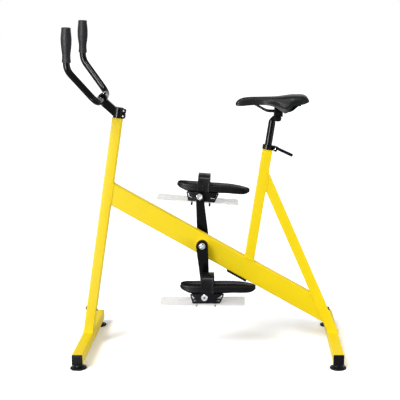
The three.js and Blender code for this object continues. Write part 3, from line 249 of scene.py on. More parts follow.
def section(inner, outer, low, high):
    """A ring's profile, as radius and height."""
    return [(inner, low), (outer, low), (outer, high), (inner, high)]


def turned(profile, sides=64, axis="Z"):
    """A profile of radius and height spun about an axis."""
    rings = []
    for angle in circle(sides):
        turn = Matrix.Rotation(angle, 3, "Z")
        rings.append([turn @ Vector((radius, 0, height)) for radius, height in profile])
    return moved(skin(rings, looped=True), TURNS[axis])


def bend(start, corner, end, steps):
    """A curve from start to end that is drawn towards the corner between them."""
    shares = [step / steps for step in range(steps + 1)]
    return [start.lerp(corner, s).lerp(corner.lerp(end, s), s) for s in shares]


def rounded(corners, radius, steps=4):
    """A closed outline with its corners rounded; a corner may state its own radius."""
    outline = []
    for i, corner in enumerate(corners):
        here = Vector(corner[:2])
        reach = corner[2] if len(corner) > 2 else radius
        back = Vector(corners[i - 1][:2]) - here
        ahead = Vector(corners[(i + 1) % len(corners)][:2]) - here
        start = here + back.normalized() * min(reach, back.length * BEND_LIMIT)
        end = here + ahead.normalized() * min(reach, ahead.length * BEND_LIMIT)
        outline += bend(start, here, end, steps)
    return outline


def rectangle(half_width, half_height, radius, steps=4):
    corners = [(-1, -1), (1, -1), (1, 1), (-1, 1)]
    return rounded([(x * half_width, y * half_height) for x, y in corners], radius, steps)


def spread(outline, height, axis):
    """An outline's points at one height: X and Y at a Z, X and Z at a Y, or Y and Z at an X."""
    place = {
        "Z": lambda a, b: (a, b, height),
        "Y": lambda a, b: (a, height, b),
        "X": lambda a, b: (height, a, b),
    }[axis]
    return [place(*point) for point in outline]


def prism(outline, low, high, axis="Z"):
    return skin([spread(outline, low, axis), spread(outline, high, axis)])


def pipe(outer, inner, low, high, axis="Z"):
    rings = [(outer, low), (outer, high), (inner, high), (inner, low)]
    return skin([spread(outline, height, axis) for outline, height in rings], looped=True)


def block(x0, x1, y0, y1, z0, z1):
    outline = [(x0, y0), (x1, y0), (x1, y1), (x0, y1)]
    return prism(outline, z0, z1)


def drum(radius, low, high, axis="Z", sides=48, x=0.0, y=0.0, z=0.0):
    """A plain round bar, to cut and join with."""
    bar = turned([(0, low), (radius, low), (radius, high), (0, high)], sides, axis)
    return moved(bar, shift(x, y, z))


def six_sided(angle):
    return 1 / cos((angle + pi / 6) % (pi / 3) - pi / 6)


def stacked(levels, sides=48, axis="Z"):
    """Rings along an axis, each round, or six-sided where its level says hex."""
    rings = []
    for radius, height, *form in levels:
        spokes = [(radius * six_sided(a) if form else radius, a) for a in circle(sides)]
        rings.append([(reach * cos(a), reach * sin(a), height) for reach, a in spokes])
    return moved(skin(rings), TURNS[axis])


def rod(points, radius, sides=24, looped=False):
    """A round rod along a path, its section carried along without twisting. The radius may vary."""
    points = [Vector(point) for point in points]
    last = len(points) - 1
    radii = radius if isinstance(radius, list) else [radius] * len(points)
    tangents = []
    for i in range(last + 1):
        before = points[i - 1] if i or looped else points[i]
        after = points[(i + 1) % (last + 1)] if i < last or looped else points[i]
        tangents.append((after - before).normalized())
    side = Vector((0, 1, 0)) if abs(tangents[0].y) < 0.7 else Vector((1, 0, 0))
    normal = tangents[0].cross(side).normalized()
    rings = []
    for i, (point, tangent) in enumerate(zip(points, tangents)):
        if i:
            normal = tangents[i - 1].rotation_difference(tangent) @ normal
        other = tangent.cross(normal)
        spokes = [normal * cos(a) + other * sin(a) for a in circle(sides)]
        rings.append([point + spoke * radii[i] for spoke in spokes])
    return skin(rings, looped)


def bent(corners, steps=12):
    """A path through corners given as x, y, z and the length of their bends."""
    points = [Vector(corners[0][:3])]
    for before, here, after in zip(corners, corners[1:], corners[2:]):
        at = Vector(here[:3])
        start = at + (Vector(before[:3]) - at).normalized() * here[3]
        end = at + (Vector(after[:3]) - at).normalized() * here[3]
        points += bend(start, at, end, steps)
    return points + [Vector(corners[-1][:3])]


def settled(piece):
    """Bakes a piece's modifiers into its mesh."""
    bpy.context.view_layer.update()
    graph = bpy.context.evaluated_depsgraph_get()
    mesh = bpy.data.meshes.new_from_object(piece.evaluated_get(graph))
    piece.modifiers.clear()
    spent = piece.data
    piece.data = mesh
    bpy.data.meshes.remove(spent)
    return piece


def combined(piece, operation, tools):
    for tool in tools:
        step = piece.modifiers.new("step", "BOOLEAN")
        step.operation = operation
        step.solver = "EXACT"
        step.object = tool
    settled(piece)
    for tool in tools:
        mesh = tool.data
        bpy.data.objects.remove(tool)
        bpy.data.meshes.remove(mesh)
    return piece


def cut(piece, *tools):
    return combined(piece, "DIFFERENCE", tools)


def joined(piece, *others):
    return combined(piece, "UNION", others)


def gathered(first, *others):
    """Several closed shapes that don't touch, kept as one piece."""
    form = bmesh.new()
    for piece in (first, *others):
        form.from_mesh(piece.data)
    form.to_mesh(first.data)
    form.free()
    for piece in others:
        bpy.data.objects.remove(piece)
    return first


def eased(piece, width, segments=2, angle=40):
    """Rounds a piece's sharp edges."""
    edge = piece.modifiers.new("edge", "BEVEL")
    edge.width = width
    edge.segments = segments
    edge.limit_method = "ANGLE"
    edge.angle_limit = radians(angle)
    return settled(piece)


def carried(piece, start, end):
    """The same place in space, told in another frame."""
    return moved(piece, end.inverted() @ start)


def beyond(axis, value, sign):
    """Everything past a flat face, as a block to cut with."""
    reach = 3000
    spans = {name: [-reach, reach] for name in "xyz"}
    spans[axis] = [value, value + reach] if sign > 0 else [value - reach, value]
    return block(*spans["x"], *spans["y"], *spans["z"])


def table_curve(rows, share):
    """A smooth value of each column of a table between its rows; the first column says where."""
    spots = [row[0] for row in rows]
    i = min(max(sum(spot <= share for spot in spots) - 1, 0), len(rows) - 2)
    width = spots[i + 1] - spots[i]
    t = (share - spots[i]) / width

    def slope(j, column):
        low, high = max(j - 1, 0), min(j + 1, len(rows) - 1)
        return (rows[high][column] - rows[low][column]) / (spots[high] - spots[low])

    values = []
    for column in range(1, len(rows[0])):
        a, b = rows[i][column], rows[i + 1][column]
        rise = b - a
        start, end = (
            min(max(slope(j, column) * width / rise, 0), 3) * rise if rise else 0
            for j in (i, i + 1)
        )
        values.append(
            a * (2 * t**3 - 3 * t**2 + 1)
            + start * (t**3 - 2 * t**2 + t)
            + b * (3 * t**2 - 2 * t**3)
            + end * (t**3 - t**2)
        )
    return values


# Finishes


class Shade:
    """One value in a finish's nodes, ready for sums and products."""

    def __init__(self, finish, socket):
        self.finish = finish
        self.socket = socket

    def combined(self, operation, first, second):
        return self.finish.node("Math", {0: first, 1: second}, {"operation": operation})

    def __add__(self, other):
        return self.combined("ADD", self, other)

    def __radd__(self, other):
        return self.combined("ADD", other, self)

    def __rsub__(self, other):
        return self.combined("SUBTRACT", other, self)

    def __rmul__(self, other):
        return self.combined("MULTIPLY", other, self)


class Finish:
    """A material's nodes, or the world's."""

    def __init__(self, owner):
        owner.use_nodes = True
        self.tree = owner.node_tree
        self.tree.nodes.clear()

    def node(self, kind, sockets=None, settings=None, output=0):
        node = self.tree.nodes.new("ShaderNode" + kind)
        for name, value in (settings or {}).items():
            setattr(node, name, value)
        for name, value in (sockets or {}).items():
            if isinstance(value, Shade):
                self.tree.links.new(value.socket, node.inputs[name])
            else:
                node.inputs[name].default_value = value
        return Shade(self, node.outputs[output]) if node.outputs else None

    def place(self):
        return self.node("TexCoord", output="Object")

    def cloud(self, scale, detail=2.0, place=None):
        """Soft noise from 0 to 1, its scale in waves to a metre."""
        sockets = {"Scale": scale, "Detail": detail, "Roughness": 0.55}
        return self.node("TexNoise", {"Vector": place or self.place(), **sockets})

    def cells(self, scale):
        return self.node("TexVoronoi", {"Vector": self.place(), "Scale": scale})

    def surface(
        self, share, first, second, roughness, relief, depth, strength=1.0, specular=0.5, **more
    ):
        """The look: two colours blended by a share, and a relief whose full depth is in metres."""
        colours = {"Factor": share, 6: (*first, 1), 7: (*second, 1)}
        bumps = {"Height": relief, "Distance": depth, "Strength": strength}
        sockets = {
            "Base Color": self.node("Mix", colours, {"data_type": "RGBA"}, 2),
            "Roughness": roughness,
            "Normal": self.node("Bump", bumps),
            "Specular IOR Level": specular,
            **more,
        }
        self.node("OutputMaterial", {"Surface": self.node("BsdfPrincipled", sockets)})


def new_finish(name):
    material = bpy.data.materials.new(name)
    return material, Finish(material)


def yellow_coat(coat):
    """Sprayed and baked yellow with a faint orange peel."""
    coat.surface(
        coat.cloud(5.0, 3.0), (0.81, 0.605, 0.005), (0.85, 0.635, 0.009),
        roughness=0.34 + 0.12 * coat.cloud(38.0, 4.0), specular=0.06,
        relief=coat.cloud(420.0, 1.0) + 0.15 * coat.cloud(2600.0), depth=0.00005,
    )


def black_coat(coat):
    """Gloss black paint over metal, with faint handling marks."""
    smear = coat.cloud(60.0, 5.0)
    coat.surface(
        smear, (0.0015, 0.0015, 0.002), (0.004, 0.004, 0.005),
        roughness=0.09 + 0.07 * smear, specular=0.06,
        relief=coat.cloud(500.0, 1.0), depth=0.00001,
    )


def black_plastic(plastic):
    """Moulded black plastic with a spark-eroded grain."""
    scuff = plastic.cloud(90.0, 6.0)
    plastic.surface(
        scuff, (0.002, 0.002, 0.003), (0.006, 0.0055, 0.007),
        roughness=0.3 + 0.16 * scuff, specular=0.05,
        relief=plastic.cells(1900.0), depth=0.00004,
    )


def black_rubber(rubber):
    """Moulded rubber, smooth where it came off the tool and dusty in between."""
    dust = rubber.cloud(45.0, 6.0)
    rubber.surface(
        dust, (0.002, 0.002, 0.0025), (0.008, 0.008, 0.009),
        roughness=0.2 + 0.28 * dust, specular=0.06,
        relief=rubber.cloud(1400.0, 3.0), depth=0.00008,
    )


def strap_rubber(rubber):
    """Soft strap rubber with a fine matt grain."""
    bloom = rubber.cloud(70.0, 5.0)
    rubber.surface(
        bloom, (0.002, 0.002, 0.0025), (0.006, 0.006, 0.007),
        roughness=0.26 + 0.16 * bloom, specular=0.06,
        relief=rubber.cells(1300.0), depth=0.00004,
    )


def grip_foam(foam):
    """Closed-cell foam: tiny pits between rounded cells, with painted shade in the pits and a
    painted highlight on the cell tops.
    """
    cells = foam.cells(900.0)
    mottle = foam.cloud(26.0, 4.0)
    foam.surface(
        # The share mixes the foam's own random mottle with the cells, which paint shade into the
        # pits and light onto the cell tops.
        0.55 * mottle + 0.5 * cells, (0.022, 0.019, 0.025), (0.007, 0.006, 0.008),
        roughness=0.42 + 0.2 * mottle, specular=0.07,
        relief=1 - cells + 0.5 * foam.cloud(1700.0, 3.0), depth=0.0003, strength=0.6,
    )


def saddle_skin(vinyl):
    """Grained black vinyl drawn over foam."""
    wear = vinyl.cloud(16.0, 5.0)
    vinyl.surface(
        wear, (0.010, 0.010, 0.011), (0.019, 0.019, 0.020),
        roughness=0.22 + 0.12 * wear, specular=0.025,
        relief=vinyl.cells(620.0) + 0.3 * vinyl.cloud(1500.0), depth=0.00008, strength=0.6,
    )


def stainless_steel(steel):
    """Turned stainless steel with fine lathe lines."""
    lathe = steel.node("Mapping", {"Vector": steel.place(), "Scale": (300.0, 2400.0, 300.0)})
    lines = steel.cloud(1.0, 3.0, lathe)
    haze = steel.cloud(120.0, 4.0)
    steel.surface(
        haze, (0.36, 0.36, 0.37), (0.50, 0.50, 0.50),
        roughness=0.1 + 0.08 * lines + 0.05 * haze, relief=lines, depth=0.00003, Metallic=1.0,
    )


def clear_plate(sheet):
    """Milky sheet that lets what is behind it show through."""
    milk = sheet.cloud(30.0, 4.0)
    sheet.surface(
        milk, (0.70, 0.70, 0.67), (0.78, 0.77, 0.74),
        roughness=0.16 + 0.12 * milk, relief=sheet.cloud(240.0), depth=0.00004,
        Alpha=0.46 + 0.06 * milk,
    )


FINISHES = {}
for make in (
    yellow_coat, black_coat, black_plastic, black_rubber, strap_rubber, grip_foam, saddle_skin,
    stainless_steel, clear_plate,
):
    FINISHES[make.__name__], nodes = new_finish(make.__name__)
    make(nodes)


def fit(piece, name, place, body, finish, *replaced, smooth=35):
    """Bakes a piece into its place on the bike, in metres, and sets it riding on a body."""
    moved(piece, Matrix.Scale(0.001, 4) @ place)
    piece.name = piece.data.name = name
    tidy(piece)
    piece.data.shade_smooth()
    piece.data.set_sharp_from_angle(angle=radians(smooth))
    piece.data.materials.clear()
    piece.data.materials.append(FINISHES[finish])
    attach(piece, body)
    if replaced:
        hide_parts(*replaced)


# Frame tubes


def square_tube(half_width, half_height, low, high, axis="Z", corner=3.2):
    outer = rectangle(half_width, half_height, corner)
    inner = rectangle(half_width - WALL, half_height - WALL, corner - WALL + 0.6)
    return pipe(outer, inner, low, high, axis)


def leg_bolt_hole():
    return drum(4.4, -60, 60, "X", 32, z=LEG_BOLT_HEIGHT)


def leg_tube(place, length, *ends):
    """A leg that stands on its base tube, cut by the shapes it ends at, with its bolt's hole."""
    tube = square_tube(HALF_LEG, HALF_LEG, -45, length)
    floor = carried(beyond("z", BASE_TOP + SEAM, -1), LEVEL, place)
    return cut(tube, floor, *ends, leg_bolt_hole())


def frame_tubes():
    fit(leg_tube(POST, POST_LENGTH), "post_tube", POST, "frame", "yellow_coat", "front_post")
    seat_face = carried(beyond("x", HALF_LEG + SEAM, -1), SEAT, STAY)
    fit(leg_tube(STAY, LONG, seat_face), "stay_tube", STAY, "frame", "yellow_coat", "rear_stay")
    beam = cut(
        square_tube(HALF_LEG, HALF_BEAM, -LONG, LONG, "X", 4.2),
        carried(beyond("x", HALF_LEG + SEAM, -1), POST, BEAM),
        carried(beyond("x", -HALF_LEG - SEAM, 1), STAY, BEAM),
        carried(drum(SHELL_RADIUS + SEAM, -60, 60, "Y"), BRACKET_AXIS, BEAM),
    )
    fit(beam, "beam_tube", BEAM, "frame", "yellow_coat", "main_beam")
    seat_tube = cut(
        square_tube(HALF_LEG, HALF_LEG, -900, 0),
        carried(beyond("z", HALF_BEAM + SEAM, -1), BEAM, SEAT),
    )
    fit(seat_tube, "seat_tube_square", SEAT, "frame", "yellow_coat", "seat_tube")


def beam_rubber():
    top = -HALF_BEAM - SEAM
    pad = eased(prism(rectangle(43, 15, 4), top - 9, top), 1.6, 3)
    low, high = -HALF_BEAM - 12, -HALF_BEAM - 8.2
    pad = cut(pad, *[block(x - 1, x + 1, -11, 11, low, high) for x in range(-33, 34, 11)])
    fit(moved(pad, shift(PAD_FROM_CRANK)), "beam_rubber", BEAM, "frame", "black_rubber", "beam_pad")


def bead_path(outline, tube, along, face_point, face_normal):
    """Where lines through a tube's outline meet a flat face, in the bike's own frame."""
    direction = (tube.to_3x3() @ Vector(along)).normalized()
    path = []
    for point in outline:
        start = tube @ Vector(point)
        share = (face_point - start).dot(face_normal) / direction.dot(face_normal)
        path.append(start + direction * share)
    return path


def spaced(path, step):
    """Points at even steps along a closed path."""
    lengths = [0.0]
    ring = path + path[:1]
    for a, b in zip(ring, ring[1:]):
        lengths.append(lengths[-1] + (b - a).length)
    count = round(lengths[-1] / step)
    points = []
    i = 0
    for j in range(count):
        want = lengths[-1] * j / count
        while lengths[i + 1] < want:
            i += 1
        share = (want - lengths[i]) / max(lengths[i + 1] - lengths[i], 1e-9)
        points.append(ring[i].lerp(ring[i + 1], share))
    return points


def weld(name, path, radius=2.1):
    """A weld bead under the paint: one small wave for each dip of the rod."""
    points = spaced(path, 1.3)
    waves = round(len(points) / 3.4)
    swell = [radius * (1 + 0.13 * cos(waves * angle)) for angle in circle(len(points))]
    bead = rod(points, swell, 10, looped=True)
    fit(bead, f"weld_{name}", LEVEL, "frame", "yellow_coat", smooth=60)


def face_of(place, x=0.0, z=0.0, normal=(1, 0, 0)):
    return place @ Vector((x, 0, z)), place.to_3x3() @ Vector(normal)


def welds():
    side, deep = HALF_LEG + WELD_GAP, HALF_BEAM + WELD_GAP
    upright = spread(rectangle(side, side, 3.4), 0, "Z")
    sloping = spread(rectangle(side, deep, 4.4), 0, "X")
    up, ahead = (0, 0, 1), (1, 0, 0)
    floor = (Vector((0, 0, BASE_TOP + 0.6)), Vector(up))
    for name, outline, tube, along, face in (
        ("post_foot", upright, POST, up, floor),
        ("stay_foot", upright, STAY, up, floor),
        ("beam_front", sloping, BEAM, ahead, face_of(POST, x=side)),
        ("beam_rear", sloping, BEAM, ahead, face_of(STAY, x=-side)),
        ("stay_top", upright, STAY, up, face_of(SEAT, x=side)),
        ("seat_tube", upright, SEAT, up, face_of(BEAM, z=deep, normal=up)),
    ):
        weld(name, bead_path(outline, tube, along, *face))
    reach = SHELL_RADIUS + WELD_GAP
    for name, sign in SIDES.items():
        spots = [(reach * cos(a), sign * side, reach * sin(a)) for a in circle(48)]
        weld(f"shell_{name}", [BRACKET_AXIS @ Vector(spot) for spot in spots], 1.8)


# Bases


def hex_bolt():
    """A leg's bolt along X, its head's inner face at 0 and its shank towards -X."""
    half = 6.5
    levels = [
        (3.5, -42), (4, -41.4), (4, 0), (8.2, 0), (8.2, 0.9), (half, 1, "hex"), (half, 4.4, "hex"),
        (half * 0.93, 5.3), (half * 0.55, 5.3), (half * 0.5, 5.05),
    ]
    return stacked(levels, 48, "X")


def bases():
    half = BASE_TUBE / 2
    centre = FOOT_HEIGHT + half
    for name, end, leg in (("front", -1, POST), ("rear", 1, STAY)):
        x = end * BASE_SPACING / 2
        reach = BASE_WIDTH / 2 - CAP
        tube = square_tube(half, half, -reach, reach, "Y", 3.6)
        stub = carried(square_tube(16.7, 16.7, -40, 110, corner=2.8), leg, LEVEL)
        stub = cut(stub, beyond("z", BASE_TOP - 1, -1), carried(leg_bolt_hole(), leg, LEVEL))
        base = joined(moved(tube, shift(x, 0, centre)), stub)
        fit(base, f"{name}_base", LEVEL, "frame", "yellow_coat", f"{name}_base_tube")
        bolt = moved(hex_bolt(), shift(HALF_LEG + SEAM, 0, LEG_BOLT_HEIGHT), facing(end))
        fit(bolt, f"{name}_hex_bolt", leg, "frame", "black_coat", f"{name}_leg_bolt")
        for side_name, side in SIDES.items():
            base_end(name, side_name, side, x, centre)


def base_end(name, side_name, side, x, centre):
    half = BASE_TUBE / 2
    face = BASE_WIDTH / 2
    lip = face - CAP
    cover = eased(prism(rectangle(half, half, 3.8), lip, face, "Y"), 1.3, 3)
    dish = turned([(0, face - 0.5), (11.5, face - 0.5), (12.5, face + 1), (0, face + 1)], 64, "Y")
    inside = half - WALL - SEAM
    insert = eased(prism(rectangle(inside, inside, 1.2), lip - 12, lip + 1, "Y"), 0.8)
    cap = joined(cut(cover, dish), insert)
    place = leaning(x, centre) @ facing(side)
    node = f"{name}_cap_{side_name}"
    fit(cap, f"{name}_end_cap_{side_name}", place, "frame", "black_plastic", node)
    profile = rounded([
        (0, 0.6, 0), (26, 0.6, 0.3), (27, 0, 0.3), (30.6, 0, 1.2), (31.5, 2.5, 1.2),
        (30.2, 5, 1.4), (23.5, 7.2, 2), (18.6, 9.6, 2.5), (17, 13, 2), (17, 16.4, 0.4),
        (16.2, 16.9, 0.3), (17, 17.4, 0.4), (17, FOOT_HEIGHT, 0.4), (5, FOOT_HEIGHT, 0.3),
        (5, 31, 1), (0, 32, 0),
    ], 0.3, 4)
    place = shift(x, side * (face - FOOT_INSET))
    node = f"{name}_foot_{side_name}"
    foot = turned(profile, 72)
    fit(foot, f"{name}_rubber_foot_{side_name}", place, "frame", "black_rubber", node)


# Bottom bracket and cranks


def bottom_bracket():
    shell = turned(rounded(section(18, SHELL_RADIUS, -SHELL_HALF, SHELL_HALF), 0.7, 3), 72, "Y")
    fit(shell, "shell_tube", BRACKET_AXIS, "frame", "yellow_coat", "bb_shell")
    for name, side in SIDES.items():
        profile = rounded([
            (8.9, 20), (17.6, 20), (17.6, SHELL_HALF, 0.1), (20.5, SHELL_HALF), (20.5, 36.6, 0.8),
            (14, 36.6, 0.4), (13.4, 35.8), (11.4, 35.8), (10.8, 36.4), (8.9, 36.4),
        ], 0.3, 3)
        notches = [moved(drum(2.2, 35, 40, "Y", 24, x=20.8), spin("Y", 45 * i)) for i in range(8)]
        cup = mirrored(cut(turned(profile, 96, "Y"), *notches), side)
        fit(cup, f"bearing_cup_{name}", BRACKET_AXIS, "frame", "black_plastic", f"bb_cup_{name}")


def arc(x, z, radius, start, end, steps):
    angles = [radians(start + (end - start) * i / steps) for i in range(steps + 1)]
    return [Vector((x + radius * cos(a), z + radius * sin(a))) for a in angles]


def crank_arm():
    """One arm on the right-hand side, hanging from the crank axis."""
    tilt = degrees(asin((BOSS_RADIUS - EYE_RADIUS) / CRANK_LENGTH))
    outline = arc(0, 0, BOSS_RADIUS, -tilt, 180 + tilt, 40)
    outline += arc(0, -CRANK_LENGTH, EYE_RADIUS, 180 + tilt, 360 - tilt, 32)
    pocket = rounded([(-14, -37, 7), (14, -37, 7), (10.2, -150, 5), (-10.2, -150, 5)], 6, 6)
    groove = section(18.4, 19.6, CRANK_OUTER - 0.7, CRANK_OUTER + 3)
    arm = cut(
        eased(prism(outline, CRANK_INNER, CRANK_OUTER, "Y"), 2.2, 4),
        prism(pocket, CRANK_OUTER - 2, CRANK_OUTER + 5, "Y"),
        turned(rounded(groove, 0.2, 2), 72, "Y"),
        drum(12.9, 53, 70, "Y"),
        block(-6.7, 6.7, 20, 60, -6.7, 6.7),
        drum(AXLE_RADIUS + ROOM, 20, 80, "Y", z=-CRANK_LENGTH),
    )
    return eased(arm, 0.5, 2, 50)


def cranks():
    for name, side in SIDES.items():
        arm = mirrored(crank_arm(), side)
        if side > 0:
            moved(arm, spin("Y", 180))
        fit(arm, f"crank_arm_{name}", CRANKS, "crankset", "black_coat", f"crank_{name}")
        bolt = stacked([
            (3.4, 37.6), (4, 38.2), (4, 53.2), (12.2, 53.2), (12.5, 53.5), (12.5, 54.3),
            (12.1, 54.8), (9.6, 54.8), (9.2, 54.5), (7.5, 54.5, "hex"), (7.5, 56.8, "hex"),
            (6.9, 57.6), (4.4, 57.6), (4.1, 57.3),
        ], 72, "Y")
        seal = cut(drum(9.5, 54.4, 55.4, "Y", 48), drum(7.6, 50, 60, "Y", 48))
        shaft = stacked([
            (6.4, CRANK_INNER - 6.4), (AXLE_RADIUS, CRANK_INNER - 5.8), (AXLE_RADIUS, AXLE_HEAD),
            (11.4, AXLE_HEAD), (12, AXLE_HEAD + 0.7), (12, AXLE_HEAD + 5), (11, AXLE_HEAD + 6),
            (4.6, AXLE_HEAD + 6), (4, AXLE_HEAD + 5.4, "hex"), (4, AXLE_HEAD + 3.4, "hex"),
        ], 72, "Y")
        nut = turned(rounded(section(7.3, 12.5, 33.8, 39.8), 0.6, 3), 72, "Y")
        nut = cut(nut, *[moved(block(11, 20, 30, 45, -5, 5), spin("Y", 60 * i)) for i in range(6)])
        # A dark hex set into the spindle's end socket: painted shade standing in for the socket's
        # dark depth, not a real plug.
        insert = stacked([(2.6, AXLE_HEAD + 3.5, "hex"), (2.6, AXLE_HEAD + 5.3, "hex")], 24, "Y")
        axle = CRANKS @ shift(0, 0, side * CRANK_LENGTH)
        for piece, label, place, finish, *node in (
            (bolt, "crank_centre_bolt", CRANKS, "stainless_steel", f"crank_bolt_{name}"),
            (seal, "crank_bolt_seal", CRANKS, "black_rubber"),
            (shaft, "pedal_spindle", axle, "stainless_steel", f"pedal_axle_{name}"),
            (nut, "spindle_nut", axle, "stainless_steel", f"pedal_axle_nut_{name}"),
            (insert, "spindle_plug", axle, "black_rubber"),
        ):
            fit(mirrored(piece, side), f"{label}_{name}", place, "crankset", finish, *node)


# Pedals


def bracket():
    low = BRACKET_BOTTOM
    half = PEDAL_WIDTH / 2
    outline = rounded([(-54, 13), (-45, low), (58.5, low), (75, 13)], 3, 4)
    windows = [
        rounded([(-48, 9.5, 1), (-41, low + 8, 1.6), (-27, low + 11, 3)], 2, 4),
        rounded([(68, 9.5, 1), (35, low + 12, 3), (56, low + 8, 1.6)], 2, 4),
    ]
    plates = []
    for y in (-half, half - 4):
        plate = cut(prism(outline, y, y + 4, "Y"), *[prism(w, y - 9, y + 13, "Y") for w in windows])
        plates.append(eased(plate, 0.8, 2))
    spine, floor, deck, web = (
        eased(block(*span), 0.6)
        for span in (
            (-45, 58.5, -9, 9, low, low + 4),
            (-12, 12, -half + 2, half - 2, low, low + 4.2),
            (-49, 70, -half + 3, half - 3, 9, 12.8),
            (-6, 6, -half + 2, half - 2, low + 2, 12),
        )
    )
    whole = joined(*plates, spine, floor, deck, drum(12, -half, half, "Y"), web)
    bores = [drum(2.8, low - 10, low + 6, "Z", 32, x=x) for x in PLATE_SCREWS.values()]
    return cut(whole, drum(AXLE_RADIUS + ROOM, -60, 60, "Y"), *bores)


BED_TABLE = [
    (0, 0.42, 0.95, 0.62),
    (0.025, 0.66, 1.01, 0.44),
    (0.08, 0.84, 1.02, 0.21),
    (0.15, 0.94, 0.98, 0),
    (0.25, 1, 0.97, 0),
    (0.46, 1, 0.97, 0),
    (0.58, 0.97, 0.99, 0.02),
    (0.7, 0.93, 0.99, 0.07),
    (0.8, 0.9, 0.93, 0.04),
    (0.9, 0.79, 0.82, 0.02),
    (0.965, 0.58, 0.73, 0.14),
    (1, 0.34, 0.65, 0.33),
]


def bed_ring(share):
    width, rim, low = table_curve(BED_TABLE, share)
    x = BED_FRONT + share * (BED_REAR - BED_FRONT)
    half = width * BED_HALF
    base = BRACKET_TOP + SEAM
    depth = BED_RIM - base
    top = base + rim * depth
    bottom = base + low * depth
    side = min(4, (top - bottom) / 3)
    rim_width = min(6, half / 3)
    floor = max(top - BED_DISH, bottom + (top - bottom) / 2)
    tread = 0.9 * max(0, cos(pi * x / 7)) ** 0.5 if 0.1 < share < 0.9 else 0
    inner = half - rim_width
    right = [
        (half - side, bottom, 2.5), (half, bottom + side, 2.5),
        (half, (top + bottom) / 2 + side / 2, 1), (half + 0.6, top - side, 1), (half, top, 1.8),
        (half - rim_width * 0.6, top + 0.2, 1.6), (inner, top - side, 3),
        (inner * 0.84, floor + side / 3 + tread, 4),
    ]
    left = [(-y, z, radius) for y, z, radius in right]
    corners = [left[0], *right, (0, floor + tread, 6), *left[:0:-1]]
    return [(x, y, z) for y, z in rounded(corners, 2, 3)]


def bed():
    steps = 160
    shares = [0.5 - 0.5 * cos(pi * i / steps) for i in range(steps + 1)]
    return skin([bed_ring(share) for share in shares])


def strap():
    """A band over the foot with raised edges and adjusting slots."""
    side, crown = 43.6, STRAP_TOP - STRAP_THICKNESS / 2
    path = [Vector((-side, z)) for z in range(15, 52, 4)]
    for knots in (
        ((-side, 52), (-side, crown), (-side / 2, crown), (0, crown)),
        ((0, crown), (side / 2, crown), (side, crown), (side, 52)),
    ):
        for i in range(25):
            t = i / 24
            weights = ((1 - t) ** 3, 3 * t * (1 - t) ** 2, 3 * t * t * (1 - t), t**3)
            point = [sum(w * knot[axis] for w, knot in zip(weights, knots)) for axis in (0, 1)]
            path.append(Vector(point))
    path += [Vector((side, z)) for z in range(48, 14, -4)]
    clean = [path[0]]
    for point in path[1:]:
        if (point - clean[-1]).length > 0.4:
            clean.append(point)
    half, thick = STRAP_WIDTH / 2, STRAP_THICKNESS / 2
    outline = rounded([
        (-half, -thick), (half, -thick), (half, thick), (half - 2.4, thick, 0.5),
        (half - 3.4, 0.7, 0.5), (-half + 3.4, 0.7, 0.5), (-half + 2.4, thick, 0.5), (-half, thick),
    ], 0.9, 3)
    rings = []
    for i, point in enumerate(clean):
        ahead = clean[min(i + 1, len(clean) - 1)] - clean[max(i - 1, 0)]
        ahead.normalize()
        out = Vector((-ahead.y, ahead.x))
        rings.append([(STRAP_CENTRE + a, *(point + out * b)) for a, b in outline])
    slots = []
    for y in (-26, -13, 0, 13, 26):
        slots.append(moved(prism(rectangle(7, 1.6, 1.5), 60, 100), shift(STRAP_CENTRE, y)))
    return cut(skin(rings), *slots)


def studs():
    parts = []
    for side in (-1, 1):
        for z in (24, 38):
            head = turned([(0, 0), (4.2, 0), (4.2, 0.7), (3.4, 1.8), (1.6, 2.3), (0, 2.4)], 32, "Y")
            parts.append(mirrored(moved(head, shift(STRAP_CENTRE, 44.3, z)), side))
    return gathered(*parts)


def screw():
    """A pan-head screw that clamps the plate, threaded to its tip, with its seat at 0."""
    head = stacked([
        (2.5, -2.3), (2.5, 0), (4.5, 0), (4.5, 1.7), (3.4, 2.8), (1.8, 3), (1.4, 2.8, "hex"),
        (1.4, 1.5, "hex"),
    ], 32)
    pitch, low, high = 0.9, -30.6, -1.3
    count = round((high - low) / (pitch / 5))
    rings = []
    for i in range(count + 1):
        height = low + (high - low) * i / count
        ease = min(1, (height - low) / 1.2)
        ring = []
        for j, angle in enumerate(circle(24)):
            wave = abs(((height / pitch - j / 24) % 1) * 2 - 1)
            radius = (2.5 - 0.42 * wave) * (0.8 + 0.2 * ease)
            ring.append((radius * cos(angle), radius * sin(angle), height))
        rings.append(ring)
    return joined(head, skin(rings))


def plate_nuts():
    parts = []
    for x in PLATE_SCREWS.values():
        nut = stacked([
            (3.4, -29.7), (4, -29.1), (4, -14.3), (4.6, -13.9, "hex"), (4.6, -9.3, "hex"),
            (4.2, -8.9),
        ], 36)
        parts.append(moved(cut(nut, drum(2.75, -60, 20, sides=36)), shift(x)))
    return gathered(*parts)


def water_plate(drift):
    """The clear plate with its screw holes, which lie off its middle line by a drift."""
    length, width, thickness = PLATE
    middle = Vector((PLATE_CENTRE, 0))
    outline = [middle + point for point in rectangle(length / 2, width / 2, 8, 8)]
    top = BRACKET_BOTTOM - SEAM
    holes = [drum(2.9, top - 9, top + 9, "Z", 32, x=x, y=drift) for x in PLATE_SCREWS.values()]
    return cut(eased(prism(outline, top - thickness, top), 0.7, 2), *holes)


